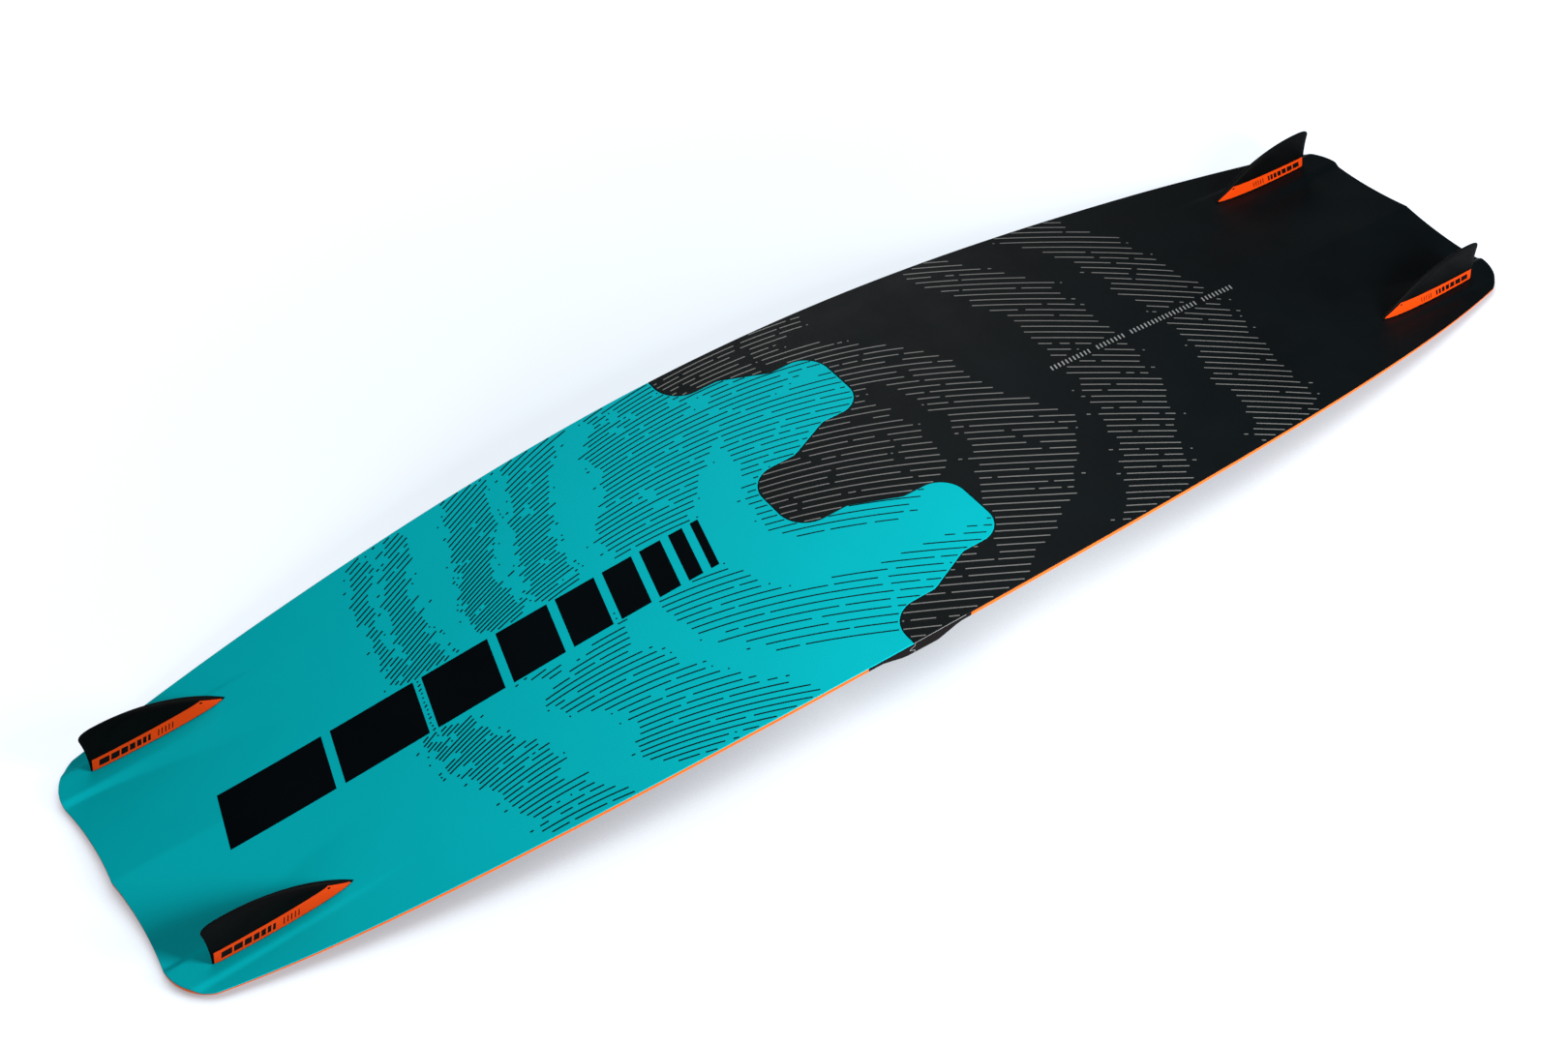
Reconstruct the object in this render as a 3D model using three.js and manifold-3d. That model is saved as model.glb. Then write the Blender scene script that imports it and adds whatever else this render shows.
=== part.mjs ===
// Split twin-tip kiteboard: two halves that plug together along a wavy seam and are held by two bolts.
// It lies deck down on its tips with the base and the four fins up.
// Millimetres. X runs along the board, Y across it and Z up out of the base.
import * as THREE from 'three';
import { mergeVertices } from 'three/addons/utils/BufferGeometryUtils.js';
import Module from 'manifold-3d';

const wasm = await Module();
wasm.setup();

// Board outline and bend
const BEND_LENGTH = 690; // half length on which the outline and rocker curves are based
const MIDDLE_HALF_WIDTH = 198.8;
const NARROWING = [-68.4, 20.6, -22.1]; // how the half width changes with the bend and its powers
const ROCKER = [-72.2, 30.7]; // how the base level changes with the bend and its square
const CORNER_START = 662; // where the rounded tip corner leaves the side curve
const TIP_X = 685.7;
const BEYOND_EDGE_Y = 260; // clear of the board on either side
const FAR_AWAY = 800; // clear of both tips

// Tip shaping: a low ridge along the middle between two shallow valleys, a raised strip under each
// fin and a dropped wing outside
const SHAPING_START = 470;
const CHANNEL_DEPTH = 3; // depth of the valleys below the plain base
const FOLD_Y = [60, 94]; // edge of the channel's sloping floor where it starts and at the tip
const STRIP_INNER_Y = 98;
const STRIP_OUTER_Y = 124;
const WING_Y = 128;
const WING_DROP = 2.4;
const TIP_DECK_DROP = 1.5; // the deck side has no channel, and is this much lower at the tips
const TIP_RIDGE = 3.8; // height of the low ridge along the middle of each tip, on both sides

// Thickness
const BASE_SKIN = 1;
const DECK_SKIN = 1;
const DEPTH_AT_RAIL = 6.2; // base surface to deck surface beside the rail
const EXTRA_DEPTH_IN_MIDDLE = 3.3;
const RAIL_WIDTH = 9;
const RAIL_EDGE = 5; // depth of the outer face below the base, in the middle
const RAIL_EDGE_LOSS = 1.6; // how much less deep it is at the tips
const RAIL_DEPTH = 6.5;
const GAP = 0.3;

// Joint between the halves
const SEAM_GAP = 0.4;
const JOINT_DECK_Z = -13.2; // flat deck side of the joint housings
const TEAL_BACK_X = -116; // where the housings end and the wooden cores begin
const BLACK_BACK_X = 115;
const BLACK_RAIL_X = -16; // the black housing is shorter beside the rails than in the middle
const BLACK_BACK_Y = 140;
const BLACK_RAIL_Y = 186;
const RAMP_LENGTH = 22; // how far the housings take to thicken from the deck to their flat side
const TEAL_RAMP_START = 13;
const BLACK_RAMP_START = 10;
const TONGUE = 5;
const TONGUE_ROOT = [3.4, 8.6]; // depths below the middle of the base
const TONGUE_NOSE = [5.5, 6.5];
const HARDWARE_Z = -6.9;
const BOLT_Y = 100;
const BOLT = { head: 3.9, shank: 2.5, groove: 2, start: 6, neck: 11, clip: 59.4, end: 88 };
const NUT = { x: 82, radius: 5, low: -10.9, high: -3.2 };
const DOWEL = { y: 178, radius: 3, nose: 1.8, back: -58, cone: -79, end: -88 };
const BUSH = { radius: 4, mouth: 3.2, throat: 1.9, start: -80, end: -90 };
const TOOL_SLOT = { x: -30, halfWidth: 4.2 };

// Fins and their screws
const FIN = { x: 595.5, y: 113.4, halfLength: 59.5, height: 44.6 };
const SCREW_STATIONS = [-24, 20];
const SCREW = { radius: 2.5, head: 4.6, headHeight: 2.4, reach: 9 };
const WASHER = { radius: 7, thickness: 1 };
const FIN_DECK_DEPTH = 8.9; // fin foot to the washer's face

// Threaded inserts in the deck
const INSERT = { radius: 6, hole: 2.9, length: 6.5 };
const BINDING_STATIONS = [230, 255, 280];
const BINDING_Y = 82.5;
const HANDLE_STATION = 140;

const MATERIALS = {
  tealBase: { color: 0x00aeb6, roughness: 0.3, metalness: 0 },
  blackBase: { color: 0x15191c, roughness: 0.35, metalness: 0 },
  deck: { color: 0x202326, roughness: 0.45, metalness: 0 },
  wood: { color: 0xc8a26a, roughness: 0.7, metalness: 0 },
  rail: { color: 0xf2641a, roughness: 0.4, metalness: 0 },
  joint: { color: 0x101214, roughness: 0.5, metalness: 0 },
  fin: { color: 0x08090a, roughness: 0.35, metalness: 0 },
  steel: { color: 0xb4b6b8, roughness: 0.3, metalness: 1 },
  brass: { color: 0xb8924a, roughness: 0.35, metalness: 1 },
};

const board = new THREE.Group();

function add(name, geometry, material, matrix = new THREE.Matrix4()) {
  const mesh = new THREE.Mesh(geometry, new THREE.MeshStandardMaterial(MATERIALS[material]));
  mesh.name = name;
  mesh.applyMatrix4(matrix);
  board.add(mesh);
}

const ROUND_SIDES = 12; // facets round every screw, pin and hole

// ---- Solids -------------------------------------------------------------------------------------

function solid(geometry, matrix = new THREE.Matrix4()) {
  const bare = geometry.clone().applyMatrix4(matrix);
  bare.deleteAttribute('normal');
  bare.deleteAttribute('uv');
  const merged = mergeVertices(bare, 1e-4);
  const vertProperties = new Float32Array(merged.attributes.position.array);
  const triVerts = new Uint32Array(merged.index.array);
  return new wasm.Manifold(new wasm.Mesh({ numProp: 3, vertProperties, triVerts }));
}

function geometryOf(manifold) {
  const mesh = manifold.getMesh();
  const indexed = new THREE.BufferGeometry();
  indexed.setAttribute('position', new THREE.BufferAttribute(mesh.vertProperties, 3));
  indexed.setIndex(new THREE.BufferAttribute(mesh.triVerts, 1));
  const geometry = indexed.toNonIndexed();
  geometry.computeVertexNormals();
  return geometry;
}

const cut = (body, cutters) => cutters.reduce((rest, cutter) => rest.subtract(cutter), body);

// Closed skin over a row of rings that all have the same even number of points. Each end is closed
// like a ladder, from the ring's first half across to its second half. Squares that face each other
// across the ring are split along the same diagonal, so that stacked skins lie parallel.
function skin(rings) {
  const count = rings[0].length;
  const faces = [];
  const quad = (a, b, c, d) => faces.push(a, b, c, a, c, d);
  for (let r = 0; r + 1 < rings.length; r++) {
    for (let k = 0; k < count; k++) {
      const next = (k + 1) % count;
      const [a, d] = [r * count + k, r * count + next];
      if (k < count / 2) quad(a, a + count, d + count, d);
      else quad(a + count, d + count, d, a);
    }
  }
  const last = (rings.length - 1) * count;
  for (let k = 0; k + 1 < count / 2; k++) {
    const across = count - 1 - k;
    quad(k, k + 1, across - 1, across);
    quad(last + k, last + across, last + across - 1, last + k + 1);
  }
  const geometry = new THREE.BufferGeometry().setFromPoints(rings.flat());
  geometry.setIndex(pointsOutward(rings.flat(), faces) ? faces : faces.reverse());
  return geometry;
}

function pointsOutward(points, faces) {
  let volume = 0;
  const cross = new THREE.Vector3();
  for (let f = 0; f < faces.length; f += 3) {
    cross.crossVectors(points[faces[f + 1]], points[faces[f + 2]]);
    volume += points[faces[f]].dot(cross);
  }
  return volume > 0;
}

// Upright prism over a flat outline, tall enough to pass through the whole board.
function prism(outline, low = -90, high = 40) {
  const geometry = new THREE.ExtrudeGeometry(new THREE.Shape(outline), {
    depth: high - low,
    bevelEnabled: false,
  });
  return solid(geometry.translate(0, 0, low));
}

const upright = (radius, low, high, sides = ROUND_SIDES) =>
  new THREE.CylinderGeometry(radius, radius, high - low, sides)
    .rotateX(Math.PI / 2)
    .translate(0, 0, (low + high) / 2);

const lengthwise = (radius, from, to, y, z = HARDWARE_Z) =>
  new THREE.CylinderGeometry(radius, radius, to - from, ROUND_SIDES)
    .rotateZ(Math.PI / 2)
    .translate((from + to) / 2, y, z);

const box = (x0, x1, y0, y1, z0, z1) =>
  new THREE.BoxGeometry(x1 - x0, y1 - y0, z1 - z0)
    .translate((x0 + x1) / 2, (y0 + y1) / 2, (z0 + z1) / 2);

// Lathe profile given as [radius, height] pairs, closed on itself.
const lathe = (profile) =>
  new THREE.LatheGeometry(
    [...profile, profile[0]].map(([r, h]) => new THREE.Vector2(r, h)),
    ROUND_SIDES,
  );

// ---- Flat outlines ------------------------------------------------------------------------------

// Moves an open line of points sideways, to the left of its direction.
function offsetLine(points, distance) {
  return points.map((point, i) => {
    const into = points[Math.max(i, 1)].clone().sub(points[Math.max(i, 1) - 1]).normalize();
    const outIndex = Math.min(i, points.length - 2);
    const out = points[outIndex + 1].clone().sub(points[outIndex]).normalize();
    const normal = new THREE.Vector2(-into.y - out.y, into.x + out.x).normalize();
    const miter = Math.max(0.5, normal.dot(new THREE.Vector2(-into.y, into.x)));
    return point.clone().addScaledVector(normal, distance / miter);
  });
}

// Line through corners [x, y, radius], with each corner rounded by an arc.
function roundedLine(corners, steps = 3) {
  const spot = ([x, y]) => new THREE.Vector2(x, y);
  const points = [spot(corners[0])];
  for (let i = 1; i + 1 < corners.length; i++) {
    const corner = spot(corners[i]);
    const back = spot(corners[i - 1]).sub(corner).normalize();
    const ahead = spot(corners[i + 1]).sub(corner).normalize();
    const opening = back.angleTo(ahead);
    const radius = corners[i][2];
    const middle = back.clone().add(ahead).normalize();
    const centre = corner.clone().addScaledVector(middle, radius / Math.sin(opening / 2));
    const start = corner.clone().addScaledVector(back, radius / Math.tan(opening / 2)).sub(centre);
    const turn = Math.sign(ahead.cross(back)) * (Math.PI - opening);
    for (let s = 0; s <= steps; s++) {
      points.push(start.clone().rotateAround(new THREE.Vector2(), (turn * s) / steps).add(centre));
    }
  }
  points.push(spot(corners.at(-1)));
  return points;
}

const bend = (x) => (x / BEND_LENGTH) ** 2;

const halfWidth = (x) =>
  NARROWING.reduce((sum, amount, i) => sum + amount * bend(x) ** (i + 1), MIDDLE_HALF_WIDTH);

// One quarter of the board's edge, from the long side at startX round the corner to the tip's middle.
function quarterEdge(startX) {
  const sideSteps = 8;
  const side = Array.from({ length: sideSteps }, (_, i) => {
    const x = THREE.MathUtils.lerp(startX, CORNER_START, i / sideSteps);
    return new THREE.Vector2(x, halfWidth(x));
  });
  const tip = new THREE.Path();
  tip.moveTo(CORNER_START, halfWidth(CORNER_START));
  tip.bezierCurveTo(674, 130.5, 686, 115, 686.6, STRIP_INNER_Y);
  tip.lineTo(686.5, 94);
  tip.quadraticCurveTo(680, 47, TIP_X, 0);
  return side.concat(tip.getPoints(4));
}

// Edge of one half, from its far side round the tip to its near side. The end is +1 for the black
// half's tip and -1 for the teal half's.
function halfEdge(end, startX) {
  const far = quarterEdge(startX);
  const near = far.slice(0, -1).reverse().map((p) => new THREE.Vector2(p.x, -p.y));
  return far.concat(near).map((p) => new THREE.Vector2(p.x * end, p.y));
}

function boardOutline(inset) {
  const black = offsetLine(halfEdge(1, 0), -inset);
  const teal = offsetLine(halfEdge(-1, 0), inset).reverse();
  return black.slice(0, -1).concat(teal.slice(0, -1));
}

// The seam on the base: two teal lobes reach into the black half. All its flanks open towards +X,
// so that the halves plug together lengthwise.
const LOBE_TIP_X = 68;
const LOBE_ROOT_X = -74;
const seamHalf = [
  [LOBE_ROOT_X + 2, BEYOND_EDGE_Y, 0],
  [LOBE_ROOT_X + 2, 161, 27],
  [-22, 161, 14],
  [22, 141, 14],
  [LOBE_TIP_X, 141, 25],
  [LOBE_TIP_X, 59, 25],
  [22, 59, 14],
  [-22, 39, 14],
  [LOBE_ROOT_X, 39, 27],
];
const SEAM = roundedLine(
  seamHalf.concat(seamHalf.toReversed().map(([x, y, radius]) => [x, -y, radius])),
);

const sideCorners = (x) => [-BEYOND_EDGE_Y, BEYOND_EDGE_Y].map((y) => new THREE.Vector2(x, y));

function tealSide(distance) {
  const line = offsetLine(SEAM, -distance);
  return prism(line.concat(sideCorners(-FAR_AWAY)));
}

function blackSide(distance) {
  const line = offsetLine(SEAM, distance);
  return prism(line.concat(sideCorners(FAR_AWAY)));
}

// Where the joint housings lie; the cores, rails and deck skins are outside this outline.
function housingArea(margin) {
  const corners = [
    [BLACK_RAIL_X, BEYOND_EDGE_Y, 0],
    [BLACK_RAIL_X, BLACK_RAIL_Y, 30],
    [BLACK_BACK_X, BLACK_BACK_Y, 40],
    [BLACK_BACK_X, -BLACK_BACK_Y, 40],
    [BLACK_RAIL_X, -BLACK_RAIL_Y, 30],
    [BLACK_RAIL_X, -BEYOND_EDGE_Y, 0],
  ];
  const back = offsetLine(roundedLine(corners), margin);
  return prism(back.concat(sideCorners(TEAL_BACK_X - margin)));
}

// ---- Surfaces -----------------------------------------------------------------------------------

const rocker = (x) => ROCKER[0] * bend(x) + ROCKER[1] * bend(x) ** 2;
const shaping = (x) => THREE.MathUtils.smoothstep(Math.abs(x), SHAPING_START, TIP_X);
const channelFold = (x) => THREE.MathUtils.lerp(...FOLD_Y, shaping(x));

const tipRidge = (x, y) => TIP_RIDGE * Math.max(0, 1 - Math.abs(y) / channelFold(x));

function baseZ(x, y) {
  const across = Math.abs(y);
  const fold = channelFold(x);
  const channel = across < fold
    ? across / fold
    : Math.max(0, (STRIP_INNER_Y - across) / (STRIP_INNER_Y - fold));
  const wing = THREE.MathUtils.clamp((across - STRIP_OUTER_Y) / (WING_Y - STRIP_OUTER_Y), 0, 1);
  const drop = CHANNEL_DEPTH * channel + WING_DROP * wing - tipRidge(x, y);
  return rocker(x) - shaping(x) * drop;
}

// The level that the deck side hangs from, without the valleys and the wings.
const plainZ = (x, y) => rocker(x) - shaping(x) * (TIP_DECK_DROP - tipRidge(x, y));
const railEdge = (x) => RAIL_EDGE - RAIL_EDGE_LOSS * bend(x);

function deckZ(x, y) {
  const crown = 1 - (y / halfWidth(x)) ** 2;
  return plainZ(x, y) - DEPTH_AT_RAIL - EXTRA_DEPTH_IN_MIDDLE * crown * (1 - 0.5 * bend(x));
}

// Deck side of the joint housings: flat, and blended into the thinner deck at its back edges.
function housingDeckZ(x, y) {
  const across = Math.abs(y);
  const backX = THREE.MathUtils.clamp(
    THREE.MathUtils.mapLinear(across, BLACK_BACK_Y, BLACK_RAIL_Y, BLACK_BACK_X, BLACK_RAIL_X),
    BLACK_RAIL_X,
    BLACK_BACK_X,
  );
  const blackRamp = (backX - BLACK_RAMP_START - x) / RAMP_LENGTH;
  const tealRamp = (x - TEAL_BACK_X - TEAL_RAMP_START) / RAMP_LENGTH;
  const flat = THREE.MathUtils.clamp(Math.min(blackRamp, tealRamp), 0, 1);
  const fromEdge = halfWidth(x) - across;
  const bevel = Math.max(0, (RAIL_WIDTH - fromEdge) / RAIL_WIDTH);
  const thinDeck = deckZ(x, y) + bevel * (RAIL_DEPTH - railEdge(x));
  return THREE.MathUtils.lerp(thinDeck, JOINT_DECK_Z + bevel, flat);
}

// Slab between two surfaces over a grid of stations.
function slab(stations, acrossAt, topZ, bottomZ) {
  const rings = stations.map((x) => {
    const ys = acrossAt(x);
    const top = ys.map((y) => new THREE.Vector3(x, y, topZ(x, y)));
    const bottom = ys.map((y) => new THREE.Vector3(x, y, bottomZ(x, y)));
    return top.concat(bottom.reverse());
  });
  return solid(skin(rings));
}

const mirrored = (values) => values.toReversed().map((v) => -v).concat(values.filter((v) => v > 0));

const BOARD_STATIONS = mirrored([0, 75, 150, 250, 360, 470, 560, 630, 692]);

function boardAcross(x) {
  const fold = channelFold(x);
  const edge = Math.max(halfWidth(x) + 3, WING_Y + 10);
  return mirrored([0, fold, STRIP_INNER_Y, STRIP_OUTER_Y, WING_Y, edge]);
}

const boardSlab = (topZ, bottomZ) => slab(BOARD_STATIONS, boardAcross, topZ, bottomZ);

// All the room below the base skin.
const underBaseSkin = () => boardSlab((x, y) => baseZ(x, y) - BASE_SKIN - GAP, () => -80);

const JOINT_STATIONS = [-122, -103, -81, -48, -26, -16, 40, 83, 105, 122];

const jointAcross = (x) =>
  mirrored([0, BOLT_Y, BLACK_BACK_Y, 163, halfWidth(x) - RAIL_WIDTH, halfWidth(x) + 3]);

// ---- Laminates, cores and rails -----------------------------------------------------------------

// Frame standing on the base surface: its own X follows the rocker towards the tip.
function onBase(x, y) {
  const end = Math.sign(x);
  const reach = FIN.halfLength;
  const rise = rocker(Math.abs(x) - reach) - rocker(Math.abs(x) + reach);
  const turn = new THREE.Euler(0, Math.atan(rise / (2 * reach)), end > 0 ? 0 : Math.PI, 'ZYX');
  const middle = (rocker(Math.abs(x) - reach) + rocker(Math.abs(x) + reach)) / 2;
  return new THREE.Matrix4()
    .makeRotationFromEuler(turn)
    .setPosition(x, y, middle);
}

const finFrames = (end) => [FIN.y, -FIN.y].map((y) => onBase(end * FIN.x, y));

const screwHoles = (end) =>
  finFrames(end).flatMap((frame) =>
    SCREW_STATIONS.map((x) =>
      solid(upright(SCREW.radius + GAP, -30, 12).translate(x, 0, 0), frame)));

function insertFrames(end) {
  const pairs = BINDING_STATIONS.flatMap((x) => [[x, BINDING_Y], [x, -BINDING_Y]]);
  return [...pairs, [HANDLE_STATION, 0]].map(([x, y]) => {
    const frame = onBase(end * x, y);
    const chordToBase = frame.elements[14] - rocker(x);
    const depth = rocker(x) - deckZ(x, y);
    const rim = new THREE.Matrix4().makeTranslation(0, 0, -depth - chordToBase + 0.2);
    return frame.multiply(rim);
  });
}

const insertHoles = (end) =>
  insertFrames(end).map((frame) =>
    solid(upright(INSERT.radius + GAP, -10, INSERT.length + GAP), frame));

function addBoardBodies() {
  const underSkin = BASE_SKIN + GAP;
  const aboveDeck = DECK_SKIN + GAP;
  const inner = prism(boardOutline(RAIL_WIDTH + GAP)).subtract(housingArea(GAP / 2));
  const baseSkin = boardSlab(baseZ, (x, y) => baseZ(x, y) - BASE_SKIN)
    .intersect(prism(boardOutline(0)));
  const core = boardSlab((x, y) => baseZ(x, y) - underSkin, (x, y) => deckZ(x, y) + aboveDeck)
    .intersect(inner);
  const deckSkin = boardSlab((x, y) => deckZ(x, y) + DECK_SKIN, deckZ).intersect(inner);
  const halves = [
    { name: 'teal', end: -1, colour: 'tealBase', side: tealSide(SEAM_GAP / 2) },
    { name: 'black', end: 1, colour: 'blackBase', side: blackSide(SEAM_GAP / 2) },
  ];
  for (const { name, end, colour, side } of halves) {
    const screws = screwHoles(end);
    const holes = [...screws, ...insertHoles(end)];
    add(`${name}_base_laminate`, geometryOf(cut(baseSkin.intersect(side), screws)), colour);
    add(`${name}_wood_core`, geometryOf(cut(core.intersect(side), holes)), 'wood');
    add(`${name}_deck_laminate`, geometryOf(cut(deckSkin.intersect(side), holes)), 'deck');
    add(`${name}_edge_rail`, geometryOf(railSolid(end)), 'rail');
  }
}

// Edge rail of one half: a strip with a bevel on its deck side, swept round the tip.
function railSolid(end) {
  const startX = end > 0 ? BLACK_RAIL_X : -TEAL_BACK_X;
  const edge = halfEdge(end, startX - 6);
  const above = () => -8;
  const section = [
    [0, above],
    [RAIL_WIDTH, above],
    [RAIL_WIDTH, () => RAIL_DEPTH],
    [0, railEdge],
  ];
  const lines = section.map(([inset]) => offsetLine(edge, -end * inset));
  const rings = edge.map((_, i) => section.map(([, depthAt], k) => {
    const point = lines[k][i];
    return new THREE.Vector3(point.x, point.y, plainZ(point.x, point.y) - depthAt(point.x));
  }));
  return solid(skin(rings)).intersect(underBaseSkin()).subtract(housingArea(GAP / 2));
}

// ---- Joint housings -----------------------------------------------------------------------------

// Band along the seam that reaches from the black half into the teal half with a blunt V.
function tongue(reach, grow) {
  const root = [TONGUE_ROOT[0] - grow, TONGUE_ROOT[1] + grow];
  const nose = [TONGUE_NOSE[0] - grow, TONGUE_NOSE[1] + grow];
  const section = [
    [4, root[0]], [0, root[0]], [-reach, nose[0]], [-reach, nose[1]], [0, root[1]], [4, root[1]],
  ];
  const inner = SEAM.filter((p) => Math.abs(p.y) < MIDDLE_HALF_WIDTH + 30);
  const lines = section.map(([offset]) => offsetLine(inner, offset));
  const rings = inner.map((_, i) =>
    section.map(([, depth], k) => new THREE.Vector3(lines[k][i].x, lines[k][i].y, -depth)));
  return solid(skin(rings));
}

// Everything that is drilled or milled into both housings around one joint bolt.
function boltCuts(y) {
  const wide = TOOL_SLOT.halfWidth;
  const clipRoom = 1;
  return [
    lengthwise(BOLT.shank + GAP, BOLT.neck - 1, BOLT.end + 4, y),
    lengthwise(wide, BOLT.start - GAP, BOLT.neck + GAP, y),
    box(TOOL_SLOT.x, BOLT.neck + GAP, y - wide, y + wide, -20, HARDWARE_Z),
    lengthwise(wide + 0.4, BOLT.clip - clipRoom, BOLT.clip + clipRoom, y),
    box(BOLT.clip - clipRoom, BOLT.clip + clipRoom, y - wide - 0.4, y + wide + 0.4, -20, HARDWARE_Z),
    upright(NUT.radius + GAP, -20, NUT.high + GAP).translate(NUT.x, y, 0),
  ].map((geometry) => solid(geometry));
}

const dowelCuts = (y) => [
  lengthwise(DOWEL.radius + GAP, BUSH.start - 1, DOWEL.back + GAP, y),
  lengthwise(BUSH.radius + GAP, BUSH.end - GAP, BUSH.start + GAP, y),
].map((geometry) => solid(geometry));

function addJointHousings() {
  const cuts = [BOLT_Y, -BOLT_Y].flatMap(boltCuts).concat([DOWEL.y, -DOWEL.y].flatMap(dowelCuts));
  const blank = slab(JOINT_STATIONS, jointAcross, () => 20, housingDeckZ)
    .intersect(underBaseSkin())
    .intersect(prism(boardOutline(0)))
    .intersect(housingArea(-GAP / 2));
  const teal = blank.intersect(tealSide(SEAM_GAP / 2)).subtract(tongue(TONGUE + GAP, GAP));
  const nose = tongue(TONGUE, 0).intersect(prism(boardOutline(0)));
  const black = blank.intersect(blackSide(SEAM_GAP / 2)).add(nose);
  add('teal_joint_housing', geometryOf(cut(teal, cuts)), 'joint');
  add('black_joint_housing', geometryOf(cut(black, cuts)), 'joint');
}

// ---- Joint hardware -----------------------------------------------------------------------------

// Turns a lathe whose height is measured along X, and puts it on the hardware line at y.
const onBoltLine = (y) =>
  new THREE.Matrix4().makeRotationZ(-Math.PI / 2).setPosition(0, y, HARDWARE_Z);

const uprightHexagon = (radius, low, high) =>
  new THREE.CylinderGeometry(radius, radius, high - low, 6).translate(0, (low + high) / 2, 0);

function boltGeometry() {
  const grooveHalf = 0.8;
  const profile = [
    [0, BOLT.start], [BOLT.head, BOLT.start], [BOLT.head, BOLT.neck], [BOLT.shank, BOLT.neck],
    [BOLT.shank, BOLT.clip - grooveHalf], [BOLT.groove, BOLT.clip - grooveHalf],
    [BOLT.groove, BOLT.clip + grooveHalf], [BOLT.shank, BOLT.clip + grooveHalf],
    [BOLT.shank, BOLT.end - 1], [BOLT.shank - 0.8, BOLT.end], [0, BOLT.end],
  ];
  const socket = uprightHexagon(2.3, BOLT.start - 1, BOLT.start + 3);
  return geometryOf(solid(lathe(profile)).subtract(solid(socket)));
}

function ring(inner, outer, low, high) {
  return lathe([[inner, low], [outer, low], [outer, high], [inner, high]]);
}

function nutGeometry() {
  const body = solid(upright(NUT.radius, NUT.low, NUT.high).translate(NUT.x, 0, 0));
  const thread = lengthwise(BOLT.shank + GAP, NUT.x - 20, NUT.x + 20, 0);
  return geometryOf(body.subtract(solid(thread)));
}

function addJointHardware() {
  const sides = [['near', -1], ['far', 1]];
  const dowel = lathe([
    [0, DOWEL.end], [DOWEL.nose, DOWEL.end], [DOWEL.radius, DOWEL.cone],
    [DOWEL.radius, DOWEL.back], [0, DOWEL.back],
  ]);
  const bush = lathe([
    [BUSH.throat, BUSH.end], [BUSH.radius, BUSH.end],
    [BUSH.radius, BUSH.start], [BUSH.mouth, BUSH.start],
  ]);
  const clip = ring(BOLT.groove + GAP, BOLT.head + GAP, BOLT.clip - 0.5, BOLT.clip + 0.5);
  for (const [name, way] of sides) {
    add(`${name}_joint_bolt`, boltGeometry(), 'steel', onBoltLine(way * BOLT_Y));
    add(`${name}_bolt_clip`, clip, 'steel', onBoltLine(way * BOLT_Y));
    add(`${name}_barrel_nut`, nutGeometry(), 'brass',
      new THREE.Matrix4().makeTranslation(0, way * BOLT_Y, 0));
    add(`${name}_locating_dowel`, dowel, 'steel', onBoltLine(way * DOWEL.y));
    add(`${name}_dowel_bush`, bush, 'brass', onBoltLine(way * DOWEL.y));
  }
}

// ---- Fins and inserts ---------------------------------------------------------------------------

function finGeometry() {
  const front = -FIN.halfLength;
  const rear = FIN.halfLength;
  const blade = new THREE.Shape();
  blade.moveTo(front, GAP);
  blade.bezierCurveTo(-40, 20, -2, FIN.height, 46, FIN.height);
  blade.quadraticCurveTo(57.6, FIN.height - 0.4, 57.8, 37);
  blade.quadraticCurveTo(56, 20, rear, GAP);
  const plan = new THREE.Shape();
  plan.moveTo(front - 1, -0.3);
  plan.bezierCurveTo(-48, -5.4, 0, -6, rear + 1, -1.4);
  plan.lineTo(rear + 1, 1.4);
  plan.bezierCurveTo(0, 6, -48, 5.4, front - 1, 0.3);
  const side = new THREE.ExtrudeGeometry(blade, { depth: 20, bevelEnabled: false, curveSegments: 8 });
  side.translate(0, 0, -10).rotateX(Math.PI / 2);
  const section = new THREE.ExtrudeGeometry(plan, { depth: 60, bevelEnabled: false, curveSegments: 6 });
  section.translate(0, 0, -5);
  const tapered = geometryOf(solid(side).intersect(solid(section)));
  const corners = tapered.attributes.position;
  for (let i = 0; i < corners.count; i++) {
    corners.setY(i, corners.getY(i) * (1 - (0.55 * corners.getZ(i)) / FIN.height));
  }
  const holes = SCREW_STATIONS.map((x) =>
    solid(upright(SCREW.radius + GAP, -5, SCREW.reach + 1).translate(x, 0, 0)));
  return geometryOf(cut(solid(tapered), holes));
}

function screwGeometry() {
  const underHead = -FIN_DECK_DEPTH - WASHER.thickness - GAP;
  const low = underHead - SCREW.headHeight;
  const profile = [
    [0, low], [SCREW.head - 1.2, low], [SCREW.head, low + 1], [SCREW.head, underHead],
    [SCREW.radius, underHead], [SCREW.radius, SCREW.reach], [0, SCREW.reach],
  ];
  const socket = uprightHexagon(1.8, low - 1, low + 1.6);
  return geometryOf(solid(lathe(profile)).subtract(solid(socket))).rotateX(Math.PI / 2);
}

function addFins() {
  const washer = ring(SCREW.radius + GAP, WASHER.radius,
    -FIN_DECK_DEPTH - WASHER.thickness, -FIN_DECK_DEPTH).rotateX(Math.PI / 2);
  for (const [half, end] of [['teal', -1], ['black', 1]]) {
    finFrames(end).forEach((frame, i) => {
      const place = `${half}_${i ? 'near' : 'far'}`;
      add(`${place}_fin`, finGeometry(), 'fin', frame);
      SCREW_STATIONS.forEach((x, k) => {
        const spot = frame.clone().multiply(new THREE.Matrix4().makeTranslation(x, 0, 0));
        add(`${place}_fin_screw_${k + 1}`, screwGeometry(), 'steel', spot);
        add(`${place}_fin_washer_${k + 1}`, washer, 'steel', spot);
      });
    });
  }
}

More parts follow.
